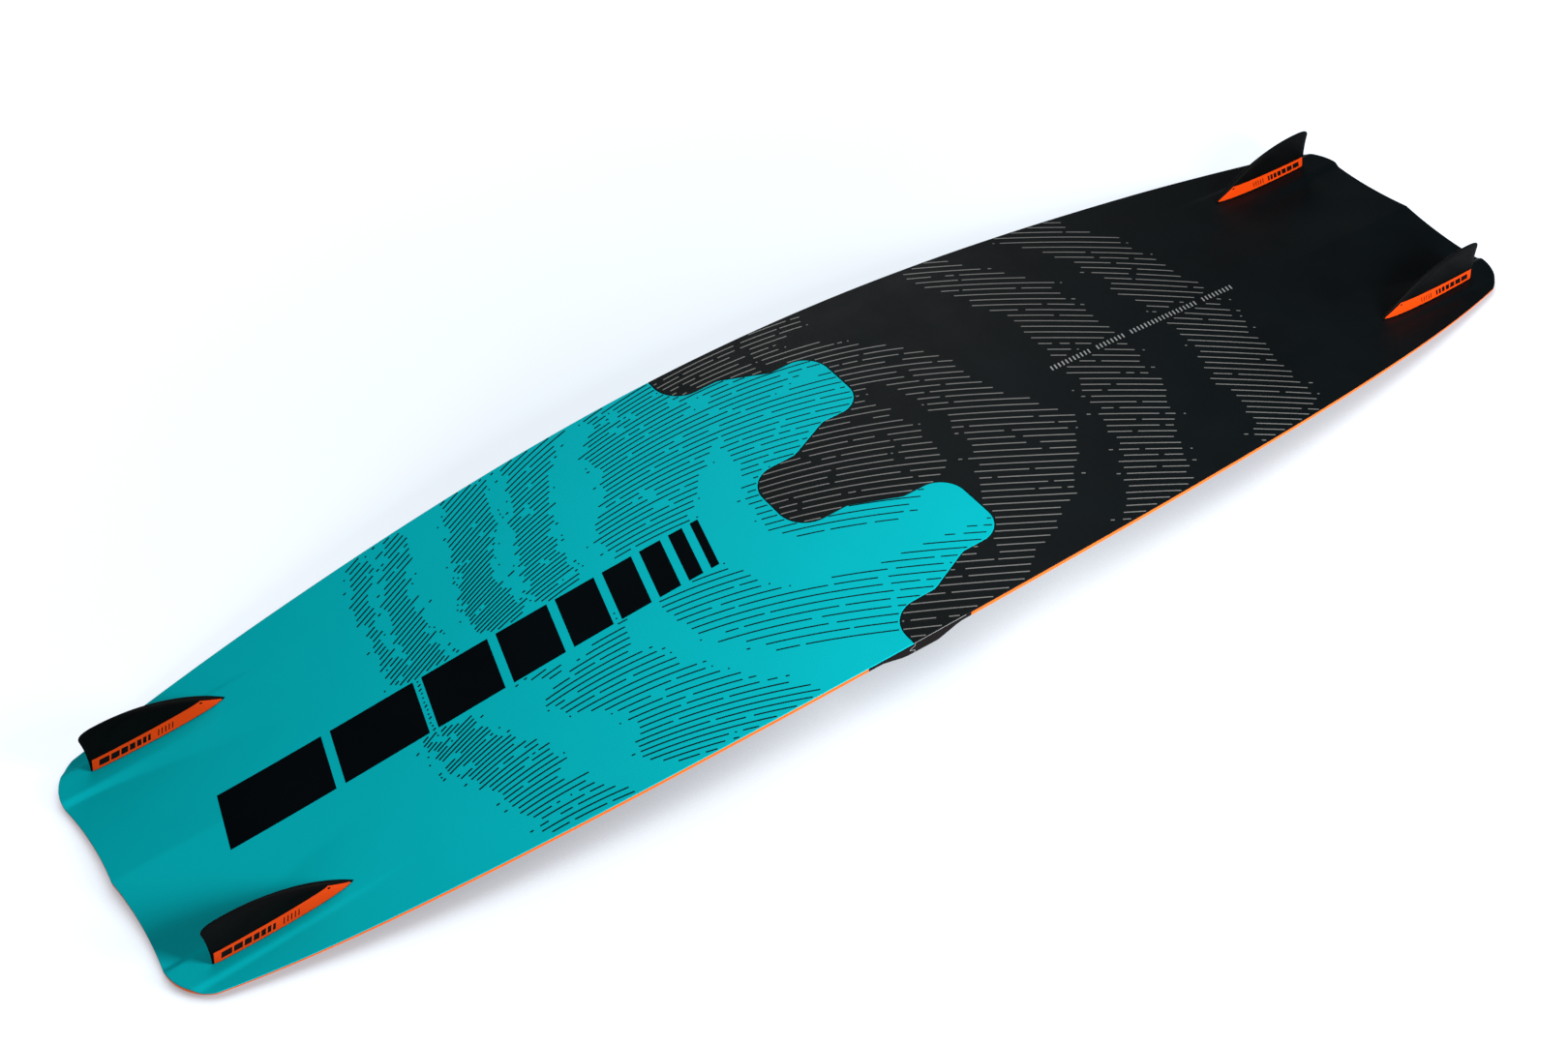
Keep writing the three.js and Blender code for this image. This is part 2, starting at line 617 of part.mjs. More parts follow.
function addInserts() {
  const floor = INSERT.length - 1;
  const insert = lathe([
    [INSERT.hole, 0], [INSERT.radius, 0], [INSERT.radius, INSERT.length],
    [0, INSERT.length], [0, floor], [INSERT.hole, floor],
  ]).rotateX(Math.PI / 2);
  for (const [half, end] of [['teal', -1], ['black', 1]]) {
    insertFrames(end).forEach((frame, i, all) => {
      const name = i < all.length - 1 ? `${half}_binding_insert_${i + 1}` : `${half}_handle_insert`;
      add(name, insert, 'brass', frame);
    });
  }
}

addBoardBodies();
addJointHousings();
addJointHardware();
addFins();
addInserts();

// The board stands on the deck side of its tips.
board.position.z = -new THREE.Box3().setFromObject(board).min.z;

export default board;
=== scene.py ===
# Looks of a split twin-tip kiteboard that lies deck down with its base and four fins up.
# Shapes are worked out in millimetres with the base surface at the board's middle as height 0,
# and placed in the frame at the end.
import math
from types import SimpleNamespace as Sizes

import bpy
import numpy as np
from mathutils import Euler, Matrix, Vector, noise
from mathutils.geometry import delaunay_2d_cdt


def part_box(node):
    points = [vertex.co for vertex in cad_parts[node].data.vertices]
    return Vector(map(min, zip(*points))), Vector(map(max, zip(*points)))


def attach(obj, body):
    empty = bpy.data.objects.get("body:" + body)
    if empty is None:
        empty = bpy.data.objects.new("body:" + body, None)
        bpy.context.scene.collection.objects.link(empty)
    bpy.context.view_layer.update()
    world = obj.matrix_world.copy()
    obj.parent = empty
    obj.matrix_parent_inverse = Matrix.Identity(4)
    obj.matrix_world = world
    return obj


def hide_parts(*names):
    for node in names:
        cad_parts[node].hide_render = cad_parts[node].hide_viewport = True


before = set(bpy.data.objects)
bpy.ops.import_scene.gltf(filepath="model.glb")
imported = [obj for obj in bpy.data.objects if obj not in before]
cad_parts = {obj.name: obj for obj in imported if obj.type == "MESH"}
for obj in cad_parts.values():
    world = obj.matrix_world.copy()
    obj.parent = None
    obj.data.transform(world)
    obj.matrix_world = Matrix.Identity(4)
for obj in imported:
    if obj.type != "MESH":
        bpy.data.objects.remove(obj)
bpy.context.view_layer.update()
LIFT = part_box("teal_base_laminate")[1].z * 1000  # the middle of the base above the floor
TO_METRES = Matrix.Translation((0, 0, LIFT / 1000)) @ Matrix.Scale(0.001, 4)

# Board outline and bend
BEND_LENGTH = 690
MIDDLE_HALF_WIDTH = 198.8
NARROWING = (-68.4, 20.6, -22.1)  # by powers of the bend
ROCKER = (-72.2, 30.7)
CORNER_START = 662
TIP_X = 685.7
SHAPING_START = 470
CHANNEL_DEPTH = 3
FOLD_Y, FOLD_SHIFT = 60, 34
STRIP_INNER_Y = 98
STRIP_OUTER_Y = 124
WING_Y = 128
WING_DROP = 2.4
TIP_DECK_DROP = 1.5
TIP_RIDGE = 3.8
CREASE_SOFTNESS = 1.6  # half width over which the moulded creases are rounded
CREASE_SAMPLES = (-1.0, -0.6, -0.2, 0.2, 0.6, 1.0)

# Layers
BASE_SKIN = 1
DECK_SKIN = 1
DEPTH_AT_RAIL = 6.2
EXTRA_DEPTH_IN_MIDDLE = 3.3
RAIL_WIDTH = 9
RAIL_EDGE = 5
RAIL_EDGE_LOSS = 1.6
RAIL_DEPTH = 6.5
GAP = 0.3

# Meshes
SHARP, CARVED_SHARP = 50, 35  # degrees between faces that keep their edge sharp
SMALLEST_AREA, SMALLEST_FIN_AREA = 1e-7, 5e-7  # of a triangle in a flat net

# Joint
SEAM_GAP = 0.4
JOINT_DECK_Z = -13.2
TEAL_BACK_X = -116
BLACK_BACK_X = 115
BLACK_RAIL_X = -16
BLACK_BACK_Y = 140
BLACK_RAIL_Y = 186
RAMP_LENGTH = 22
TEAL_RAMP_START = 13
BLACK_RAMP_START = 10
SEAM_REACH = 130  # neither half reaches further past the middle
TONGUE_END_Y = 230
BEYOND_EDGE_Y = 260.0
FAR_AWAY = 900
TONGUE = 5
TONGUE_ROOT = (3.4, 8.6)  # depths of its two faces
TONGUE_NOSE = (5.5, 6.5)
HARDWARE_Z = -6.9
BOLT_Y = 100
BOLT = Sizes(head=3.9, shank=2.5, groove=2, start=6, neck=11, clip=59.4, end=88)
NUT = Sizes(x=82, radius=5, low=-10.9, high=-3.2)
DOWEL = Sizes(y=178, radius=3, nose=1.8, back=-58, cone=-79, end=-88)
BUSH = Sizes(radius=4, mouth=3.2, throat=1.9, start=-80, end=-90)
TOOL_SLOT = Sizes(x=-30, half_width=4.2)

# Fins and fastenings
FIN = Sizes(x=595.5, y=113.4, half_length=59.5, height=44.3, thinning=0.55, edge=7,
            clearance=0.985)
SCREW_STATIONS = (-24, 20)
SCREW = Sizes(radius=2.5, head=4.6, head_height=2.4, reach=9)
WASHER = Sizes(radius=7, thickness=1)
FIN_DECK_DEPTH = 8.9
INSERT = Sizes(radius=6, hole=2.9, length=6.5, sunk=0.2)
BINDING_STATIONS = (230, 255, 280)
BINDING_Y = 82.5
HANDLE_STATION = 140


# ---- Surfaces of the board ----

def bend(x):
    return (x / BEND_LENGTH) ** 2


def half_width(x):
    u = bend(x)
    return MIDDLE_HALF_WIDTH + NARROWING[0] * u + NARROWING[1] * u ** 2 + NARROWING[2] * u ** 3


def rocker(x):
    return ROCKER[0] * bend(x) + ROCKER[1] * bend(x) ** 2


def smooth_step(t):
    t = np.clip(t, 0, 1)
    return t * t * (3 - 2 * t)


def shaping(x):
    return smooth_step((np.abs(x) - SHAPING_START) / (TIP_X - SHAPING_START))


def channel_fold(x):
    return FOLD_Y + FOLD_SHIFT * shaping(x)


def tip_ridge(x, y):
    """Height of the low ridge along the middle of a tip, with its crease rounded."""
    rounded = sum(np.maximum(0, 1 - np.abs(y + s * CREASE_SOFTNESS) / channel_fold(x))
                  for s in CREASE_SAMPLES)
    return TIP_RIDGE * rounded / len(CREASE_SAMPLES)


def cross_shape(x, across):
    fold = channel_fold(x)
    inner = across / fold
    wall = (STRIP_INNER_Y - across) / (STRIP_INNER_Y - fold)
    channel = np.where(across < fold, inner, np.maximum(0, wall))
    wing = np.clip((across - STRIP_OUTER_Y) / (WING_Y - STRIP_OUTER_Y), 0, 1)
    return CHANNEL_DEPTH * channel + WING_DROP * wing


def base_z(x, y):
    """Moulded base: the creases are rounded by averaging the shape over a short width."""
    rounded = sum(cross_shape(x, np.abs(y + s * CREASE_SOFTNESS)) for s in CREASE_SAMPLES)
    return rocker(x) - shaping(x) * (rounded / len(CREASE_SAMPLES) - tip_ridge(x, y))


def plain_z(x, y):
    return rocker(x) - shaping(x) * (TIP_DECK_DROP - tip_ridge(x, y))


def rail_edge(x):
    return RAIL_EDGE - RAIL_EDGE_LOSS * bend(x)


def deck_z(x, y):
    crown = 1 - (y / half_width(x)) ** 2
    return plain_z(x, y) - DEPTH_AT_RAIL - EXTRA_DEPTH_IN_MIDDLE * crown * (1 - 0.5 * bend(x))


def housing_deck_z(x, y):
    across = np.abs(y)
    back_x = BLACK_BACK_X + ((across - BLACK_BACK_Y) / (BLACK_RAIL_Y - BLACK_BACK_Y)
                             * (BLACK_RAIL_X - BLACK_BACK_X))
    back_x = np.clip(back_x, BLACK_RAIL_X, BLACK_BACK_X)
    flat = np.clip(np.minimum((back_x - BLACK_RAMP_START - x) / RAMP_LENGTH,
                              (x - TEAL_BACK_X - TEAL_RAMP_START) / RAMP_LENGTH), 0, 1)
    bevel = np.clip((RAIL_WIDTH - (half_width(x) - across)) / RAIL_WIDTH, 0, 1)
    thin = deck_z(x, y) + bevel * (RAIL_DEPTH - rail_edge(x))
    return thin + (JOINT_DECK_Z + bevel - thin) * flat


# ---- Flat lines ----

def bezier(points, steps):
    t = np.linspace(0, 1, steps + 1)[:, None]
    p = [np.array(q, float) for q in points]
    if len(p) == 3:
        return (1 - t) ** 2 * p[0] + 2 * t * (1 - t) * p[1] + t * t * p[2]
    return ((1 - t) ** 3 * p[0] + 3 * t * (1 - t) ** 2 * p[1]
            + 3 * t * t * (1 - t) * p[2] + t ** 3 * p[3])


def board_side(end):
    """Edge of one half, from its far side round the tip to its near side."""
    xs = np.arange(0.0, CORNER_START, 6.0)
    side = np.stack([xs, half_width(xs)], 1)
    corner = bezier([(CORNER_START, half_width(CORNER_START)), (674, 130.5), (686, 115),
                     (686.6, STRIP_INNER_Y)], 22)
    tip = bezier([(686.5, 94), (680, 47), (TIP_X, 0)], 40)
    far = np.concatenate([side, corner, tip])
    return np.concatenate([far, far[:-1][::-1] * (1, -1)]) * (end, 1)


def move_sideways(line, distance):
    """Moves an open line to the left of its direction."""
    step = np.diff(line, axis=0)
    step /= np.linalg.norm(step, axis=1)[:, None]
    into = np.concatenate([step[:1], step])
    out = np.concatenate([step, step[-1:]])
    normal = np.stack([-into[:, 1] - out[:, 1], into[:, 0] + out[:, 0]], 1)
    normal /= np.linalg.norm(normal, axis=1)[:, None]
    miter = np.maximum(0.5, normal[:, 0] * -into[:, 1] + normal[:, 1] * into[:, 0])
    return line + normal * (distance / miter)[:, None]


def move_loop(loop, distance):
    """Moves a closed line to the left of its direction."""
    return move_sideways(np.concatenate([loop[-1:], loop, loop[:1]]), distance)[1:-1]


def board_outline(inset):
    """Closed line inside the board's edge, counter-clockwise seen from above."""
    black = move_sideways(board_side(1), -inset)
    teal = move_sideways(board_side(-1), inset)[::-1]
    return np.concatenate([black[:-1], teal[:-1]])[::-1]


def rounded_line(corners, spacing=1.6):
    """Line through corners of x, y and radius."""
    spots = [np.array(c[:2], float) for c in corners]
    points = [spots[0]]
    for i in range(1, len(corners) - 1):
        back = spots[i - 1] - spots[i]
        ahead = spots[i + 1] - spots[i]
        back /= np.linalg.norm(back)
        ahead /= np.linalg.norm(ahead)
        opening = math.acos(float(np.clip(back @ ahead, -1, 1)))
        radius = corners[i][2]
        middle = back + ahead
        middle /= np.linalg.norm(middle)
        centre = spots[i] + middle * radius / math.sin(opening / 2)
        start = spots[i] + back * radius / math.tan(opening / 2) - centre
        turn = math.copysign(math.pi - opening, ahead[0] * back[1] - ahead[1] * back[0])
        steps = max(3, int(abs(turn) * radius / spacing))
        for s in range(steps + 1):
            c, n = math.cos(turn * s / steps), math.sin(turn * s / steps)
            points.append(centre + (c * start[0] - n * start[1], n * start[0] + c * start[1]))
    points.append(spots[-1])
    return np.array(points)


def filled_in(line, spacing):
    """The same line with more points on its long straight stretches."""
    out = [line[:1]]
    for a, b in zip(line[:-1], line[1:]):
        n = max(1, math.ceil(float(np.linalg.norm(b - a)) / spacing))
        out.append(a + (b - a) * (np.arange(1, n + 1) / n)[:, None])
    return np.concatenate(out)


def filled_loop(corners, spacing):
    return filled_in(np.concatenate([corners, corners[:1]]), spacing)[:-1]


def across_board(half, spacing):
    """Line across the board from the rounded corners of its far half."""
    return filled_in(rounded_line(half + [(x, -y, r) for x, y, r in half[::-1]]), spacing)


SEAM = across_board([
    (-72, BEYOND_EDGE_Y, 0), (-72, 161, 27), (-22, 161, 14), (22, 141, 14), (68, 141, 25),
    (68, 59, 25), (22, 59, 14), (-22, 39, 14), (-74, 39, 27)], 5)
BACK_LINE = across_board([
    (BLACK_RAIL_X, BEYOND_EDGE_Y, 0), (BLACK_RAIL_X, BLACK_RAIL_Y, 30),
    (BLACK_BACK_X, BLACK_BACK_Y, 40)], 6)


def inside(points, loop):
    """Which points lie inside a closed loop."""
    result = np.zeros(len(points), bool)
    a, b = loop, np.roll(loop, -1, axis=0)
    for k in range(0, len(points), 3000):
        x, y = points[k:k + 3000, 0:1], points[k:k + 3000, 1:2]
        crosses = (a[:, 1] > y) != (b[:, 1] > y)
        rise = np.where(b[:, 1] == a[:, 1], 1.0, b[:, 1] - a[:, 1])
        at = a[:, 0] + (y - a[:, 1]) * (b[:, 0] - a[:, 0]) / rise
        result[k:k + 3000] = (crosses & (x < at)).sum(1) % 2 == 1
    return result


def in_any(points, loops):
    return np.any([inside(points, loop) for loop in loops], axis=0)


def distance_to(points, line, closed=False):
    a = line if closed else line[:-1]
    b = np.roll(line, -1, axis=0) if closed else line[1:]
    along = b - a
    length = np.maximum((along ** 2).sum(1), 1e-12)
    result = np.empty(len(points))
    for k in range(0, len(points), 1500):
        p = points[k:k + 1500, None, :] - a
        t = np.clip((p * along).sum(2) / length, 0, 1)
        gap = p - t[:, :, None] * along
        result[k:k + 1500] = np.sqrt((gap ** 2).sum(2).min(1))
    return result


def between(points, line, x):
    """Which points lie between a line across the board and a straight edge at x."""
    return inside(points, np.concatenate([line, [(x, -BEYOND_EDGE_Y), (x, BEYOND_EDGE_Y)]]))


def side_of_seam(points, end, margin=SEAM_GAP / 2):
    """Which points lie on one half's side of the seam; end is -1 for teal and 1 for black."""
    return between(points, move_sideways(SEAM, margin * end), FAR_AWAY * end)


def in_housing(points, margin=0.0):
    return between(points, move_sideways(BACK_LINE, margin), TEAL_BACK_X - margin)


def circle(x, y, radius, sides=32):
    a = np.arange(sides) * 2 * math.pi / sides
    return np.stack([x + radius * np.cos(a), y + radius * np.sin(a)], 1)


# ---- Mesh makers ----

def add_object(name, data):
    obj = bpy.data.objects.new(name, data)
    bpy.context.scene.collection.objects.link(obj)
    return obj


def shade(mesh, sharp):
    mesh.shade_smooth()
    mesh.set_sharp_from_angle(angle=math.radians(sharp))


def make_object(name, points, faces, matrix=TO_METRES, sharp=SHARP):
    mesh = bpy.data.meshes.new(name)
    mesh.from_pydata([tuple(map(float, p)) for p in points], [], faces)
    mesh.transform(matrix)
    mesh.validate()
    shade(mesh, sharp)
    return add_object(name, mesh)


def nearest(points, lines):
    return np.min([distance_to(points, line, closed) for line, closed, _ in lines], axis=0)


def flat_net(lines, insets, grid, keep, clear, smallest=SMALLEST_AREA):
    """Flat triangles with corners on edges, on lines inset from them, and on grid points clear of
    them. lines are (points, closed, sign) edges, and sign tells which side of them the net lies on:
    1 is the left. keep says which points are inside."""
    spots, links, count = [], [], 0
    for line, closed, sign in lines:
        for inset in insets:
            ring = (move_loop if closed else move_sideways)(line, sign * inset)
            n = len(ring)
            spots.append(ring)
            links += [(count + i, count + (i + 1) % n) for i in range(n if closed else n - 1)]
            count += n
    grid = grid[keep(grid)]
    spots.append(grid[nearest(grid, lines) > clear])
    flat = [Vector(p) for p in np.concatenate(spots)]
    found, _, triangles, *_ = delaunay_2d_cdt(flat, links, [], 0, 1e-5)
    found, triangles = (np.array([tuple(row) for row in rows]) for rows in (found, triangles))
    corners = found[triangles]
    one, two = corners[:, 1] - corners[:, 0], corners[:, 2] - corners[:, 0]
    area = 0.5 * (one[:, 0] * two[:, 1] - two[:, 0] * one[:, 1])
    wanted = keep(corners.mean(1)) & (np.abs(area) > smallest)
    triangles, area = triangles[wanted], area[wanted]
    triangles[area < 0] = triangles[area < 0][:, ::-1]
    used = np.unique(triangles)
    index = np.full(len(found), -1)
    index[used] = np.arange(len(used))
    return found[used], index[triangles]


def rim_of(triangles):
    """Edges of a net that only one triangle has."""
    edges = dict.fromkeys((t[k], t[(k + 1) % 3]) for t in triangles.tolist() for k in range(3))
    return [(a, b) for a, b in edges if (b, a) not in edges]


def shell_faces(triangles, n):
    """Faces of a net and of its copy n corners on, closed all round."""
    net = [tuple(t) for t in triangles.tolist()]
    return (net + [tuple(v + n for v in t[::-1]) for t in net]
            + [(b, a, a + n, b + n) for a, b in rim_of(triangles)])


def plate(name, lines, keep, top, bottom, grid, round_top=0.0, round_bottom=0.0, clear=1.6):
    """Closed plate between two surfaces, with rounded edges, over a flat net."""
    insets = sorted({0.0} | {f * r for r in (round_top, round_bottom) if r
                             for f in (0.3, 1.0, 1.8)})
    flat, triangles = flat_net(lines, insets, grid, keep, clear)
    away = nearest(flat, lines)

    def drop(radius):
        into = np.clip(radius - away, 0, radius)
        return radius - np.sqrt(radius ** 2 - into ** 2)

    upper, lower = top(*flat.T) - drop(round_top), bottom(*flat.T) + drop(round_bottom)
    points = np.concatenate([np.column_stack([flat, upper]), np.column_stack([flat, lower])])
    return make_object(name, points, shell_faces(triangles, len(flat)))


def grid_points(xs, ys):
    gx, gy = np.meshgrid(xs, ys, indexing="ij")
    return np.stack([gx.ravel(), gy.ravel()], 1)


def spaced(*stops):
    """Values between stops, given as value, step, value, step, value and so on."""
    out = [np.array([stops[0]], float)]
    for a, step, b in zip(stops[0:-2:2], stops[1:-1:2], stops[2::2]):
        n = max(1, round((b - a) / step))
        out.append(a + (b - a) * np.arange(1, n + 1) / n)
    return np.concatenate(out)


def mirrored(values):
    return np.concatenate([-values[values > 0][::-1], values])


FINE_Y = mirrored(spaced(0, 1.5, 3, 4, 55, 3, 88, 1.2, 101, 3, 122, 1.2, 130, 5, 210))
COARSE_Y = mirrored(spaced(0, 8, 208))


def board_grid():
    middle = grid_points(mirrored(spaced(0, 8, SHAPING_START)), COARSE_Y)
    tip = grid_points(spaced(SHAPING_START + 6, 7, 640, 4, 690), FINE_Y)
    return np.concatenate([middle, tip, tip * (-1, 1)])


GRID = board_grid()
OUTLINE = board_outline(0)


def seam_edge(end):
    return move_sideways(SEAM, end * SEAM_GAP / 2), False, end


# ---- Frames for fins and fastenings ----

def on_base(x, y):
    """Frame on the base with +X along the board towards its tip, level with the fin there."""
    reach = FIN.half_length
    high, low = rocker(abs(x) - reach), rocker(abs(x) + reach)
    turn = Euler((0, math.atan((high - low) / (2 * reach)), 0 if x > 0 else math.pi), "XYZ")
    return Matrix.Translation((x, y, (high + low) / 2)) @ turn.to_matrix().to_4x4()


def insert_frames(end):
    spots = [(x, y) for x in BINDING_STATIONS for y in (BINDING_Y, -BINDING_Y)]
    frames = []
    for x, y in spots + [(HANDLE_STATION, 0)]:
        base = on_base(end * x, y)
        chord = base.translation.z - rocker(x)
        depth = rocker(x) - deck_z(x, y)
        frames.append(base @ Matrix.Translation((0, 0, -depth - chord + INSERT.sunk)))
    return frames


def fin_frames(end):
    return [on_base(end * FIN.x, y) for y in (FIN.y, -FIN.y)]


# ---- Round and carved parts ----

def flat_faces(faces):
    """Faces with repeated corners taken out, without those that have fewer than three left."""
    trimmed = [tuple(dict.fromkeys(face)) for face in faces]
    return [face for face in trimmed if len(face) > 2]


def lathe(name, profile, matrix, sides=40, closed=False):
    """Turned body round Z from [radius, height] pairs; closed joins the last pair to the first."""
    points, rings = [], []
    for radius, height in profile:
        first = len(points)
        if radius == 0:
            rings.append([first] * sides)
            points.append((0, 0, height))
        else:
            rings.append(list(range(first, first + sides)))
            points += [(*spot, height) for spot in circle(0, 0, radius, sides)]
    pairs = list(zip(rings[:-1], rings[1:])) + ([(rings[-1], rings[0])] if closed else [])
    faces = [(low[k], low[(k + 1) % sides], high[(k + 1) % sides], high[k])
             for low, high in pairs for k in range(sides)]
    return make_object(name, points, flat_faces(faces), matrix, CARVED_SHARP)


def prism(name, outline, low, high, matrix):
    """Straight body over a flat counter-clockwise outline, from height low to high."""
    n = len(outline)
    points = [(x, y, low) for x, y in outline] + [(x, y, high) for x, y in outline]
    faces = [tuple(range(n))[::-1], tuple(range(n, 2 * n))]
    faces += [(k, (k + 1) % n, (k + 1) % n + n, k + n) for k in range(n)]
    return make_object(name, points, faces, matrix, CARVED_SHARP)


def box(name, x0, x1, y0, y1, z0, z1):
    return prism(name, [(x0, y0), (x1, y0), (x1, y1), (x0, y1)], z0, z1, TO_METRES)


def carve(obj, tools, operation="DIFFERENCE"):
    for tool in tools:
        modifier = obj.modifiers.new("carve", "BOOLEAN")
        modifier.operation = operation
        modifier.solver = "EXACT"
        modifier.object = tool
    graph = bpy.context.evaluated_depsgraph_get()
    old, mesh = obj.data, bpy.data.meshes.new_from_object(obj.evaluated_get(graph))
    obj.modifiers.clear()
    obj.data = mesh
    bpy.data.meshes.remove(old)
    for tool in tools:
        bpy.data.objects.remove(tool)
    mesh.name = obj.name
    shade(mesh, CARVED_SHARP)
    obj.modifiers.new("even", "WEIGHTED_NORMAL").keep_sharp = True
    return obj


def copy_of(obj, name, matrix):
    """A copy of a part made round the origin in metres, put in its place."""
    twin = add_object(name, obj.data.copy())
    twin.data.name = name
    twin.data.transform(TO_METRES @ matrix @ TO_METRES.inverted())
    for modifier in obj.modifiers:
        twin.modifiers.new(modifier.name, modifier.type).keep_sharp = True
    return twin


def sweep(name, path, section):
    """Band along an open flat line, from corners given as sideways offset and depth."""
    lines = [move_sideways(path, offset) for offset, _ in section]
    n, count = len(path), len(section)
    points = [(*lines[k][i], -section[k][1]) for i in range(n) for k in range(count)]
    faces = [(i * count + k, i * count + (k + 1) % count,
              (i + 1) * count + (k + 1) % count, (i + 1) * count + k)
             for i in range(n - 1) for k in range(count)]
    faces += [tuple(range(count))[::-1], tuple(range((n - 1) * count, n * count))]
    obj = make_object(name, points, faces, TO_METRES, CARVED_SHARP)
    if sum(f.center.dot(f.normal) * f.area for f in obj.data.polygons) < 0:
        obj.data.flip_normals()
    return obj


ALONG_X = Matrix.Rotation(math.pi / 2, 4, "Y")  # turns a lathe's height towards +X


def on_bolt_line(y):
    return TO_METRES @ Matrix.Translation((0, y, HARDWARE_Z)) @ ALONG_X


def through_nut(y):
    return TO_METRES @ Matrix.Translation((NUT.x, y, 0))


def rod(name, radius, low, high, matrix, sides=40):
    return lathe(name, [(0, low), (radius, low), (radius, high), (0, high)], matrix, sides)


def thread(radius, depth, pitch, low, high):
    """Corners of a thread's outline between two heights."""
    turns = int((high - low) / pitch)
    out = []
    for start in (low + k * pitch for k in range(turns)):
        out += [(radius, start), (radius, start + 0.14 * pitch),
                (radius - depth, start + 0.5 * pitch), (radius - depth, start + 0.62 * pitch)]
    return out + [(radius, low + turns * pitch)]


# ---- Board bodies ----

def screw_holes(end, level):
    """Upright holes that the slightly tilted screws pass at a height above the fin's foot."""
    feet = [at @ Vector((x, 0, level)) for at in fin_frames(end) for x in SCREW_STATIONS]
    return [circle(foot.x, foot.y, SCREW.radius + GAP) for foot in feet]


def deck_holes(end):
    spots = [at.translation for at in insert_frames(end)]
    return (screw_holes(end, level=-8.2)
            + [circle(p.x, p.y, INSERT.radius + GAP, 40) for p in spots])


def below_base(x, y):
    return base_z(x, y) - BASE_SKIN - GAP


def make_base(name, end):
    def keep(points):
        return inside(points, OUTLINE) & side_of_seam(points, end)

    return plate(name, [(OUTLINE, True, 1), seam_edge(end)], keep, base_z,
                 lambda x, y: base_z(x, y) - BASE_SKIN, GRID[GRID[:, 0] * end > -SEAM_REACH],
                 round_top=0.45, round_bottom=0.2)


def back_edge(end, margin):
    """Cut line behind the joint housings, moved away from them by the margin."""
    if end < 0:
        x = TEAL_BACK_X - margin
        line = filled_in(np.array([(x, BEYOND_EDGE_Y), (x, -BEYOND_EDGE_Y)]), 6)
    else:
        line = move_sideways(BACK_LINE, margin)
    return line, False, end if margin > 0 else -end


def behind_housing(points, end):
    own_end = points[:, 0] < TEAL_BACK_X if end < 0 else points[:, 0] > BLACK_RAIL_X
    return own_end & ~in_housing(points, GAP / 2)


def inner_plate(name, end, top, bottom, holes, **rounding):
    """Plate inside the rail and behind the joint housing, with upright holes."""
    inner = board_outline(RAIL_WIDTH + GAP)

    def keep(points):
        return inside(points, inner) & behind_housing(points, end) & ~in_any(points, holes)

    lines = [(inner, True, 1), back_edge(end, GAP / 2)]
    lines += [(hole[::-1], True, 1) for hole in holes]
    return plate(name, lines, keep, top, bottom, GRID[GRID[:, 0] * end > 0], **rounding)


def make_deck(name, end):
    return inner_plate(name, end, lambda x, y: deck_z(x, y) + DECK_SKIN, deck_z,
                       deck_holes(end), round_top=0.1, round_bottom=0.3)


def make_core(name, end):
    core = inner_plate(name, end, below_base, lambda x, y: deck_z(x, y) + DECK_SKIN + GAP,
                       screw_holes(end, level=-4.5))
    pockets = [rod("pocket", INSERT.radius + GAP, -10, INSERT.length + GAP, TO_METRES @ at)
               for at in insert_frames(end)]
    return carve(core, pockets)


def make_rail(name, end):
    inner = board_outline(RAIL_WIDTH)

    def keep(points):
        return inside(points, OUTLINE) & ~inside(points, inner) & behind_housing(points, end)

    def underside(x, y):
        away = distance_to(np.stack([x, y], 1), OUTLINE, True)
        inwards = np.clip(away / RAIL_WIDTH, 0, 1)
        return plain_z(x, y) - rail_edge(x) - (RAIL_DEPTH - rail_edge(x)) * inwards

    lines = [(OUTLINE, True, 1), (inner[::-1], True, 1), back_edge(end, GAP / 2)]
    return plate(name, lines, keep, below_base, underside, np.zeros((0, 2)), round_top=0.2,
                 round_bottom=0.7)


def housing_blank(name, end):
    def keep(points):
        return (inside(points, OUTLINE) & side_of_seam(points, end)
                & in_housing(points, -GAP / 2))

    grid = grid_points(spaced(-126, 4, 126), mirrored(spaced(0, 8, 176, 3, 202)))
    return plate(name, [(OUTLINE, True, 1), seam_edge(end), back_edge(end, -GAP / 2)], keep,
                 below_base, housing_deck_z, grid, round_bottom=0.5)


def tongue(name, reach, grow):
    (root_top, root_foot), (nose_top, nose_foot) = TONGUE_ROOT, TONGUE_NOSE
    section = [(4, root_top - grow), (0, root_top - grow), (-reach, nose_top - grow),
               (-reach, nose_foot + grow), (0, root_foot + grow), (4, root_foot + grow)]
    return sweep(name, SEAM[np.abs(SEAM[:, 1]) < TONGUE_END_Y], section)


def joint_tools():
    """Bodies of the spaces for the bolts with their tool slots, the nuts, dowels and bushes."""
    wide, wider = TOOL_SLOT.half_width, TOOL_SLOT.half_width + 0.4
    clip_low, clip_high = BOLT.clip - 1, BOLT.clip + 1
    neck, below = BOLT.neck + GAP, -20
    tools = []
    for way in (1, -1):
        y = way * BOLT_Y
        line, dowel_line = on_bolt_line(y), on_bolt_line(way * DOWEL.y)
        tools += [
            rod("t1", BOLT.shank + GAP, BOLT.neck - 1, BOLT.end + 4, line),
            rod("t2", wide, BOLT.start - GAP, neck, line),
            box("t3", TOOL_SLOT.x, neck, y - wide, y + wide, below, HARDWARE_Z),
            rod("t4", wider, clip_low, clip_high, line),
            box("t5", clip_low, clip_high, y - wider, y + wider, below, HARDWARE_Z),
            rod("t6", NUT.radius + GAP, below, NUT.high + GAP, through_nut(y)),
            rod("t7", DOWEL.radius + GAP, BUSH.start - 1, DOWEL.back + GAP, dowel_line),
            rod("t8", BUSH.radius + GAP, BUSH.end - GAP, BUSH.start + GAP, dowel_line),
        ]
    return tools


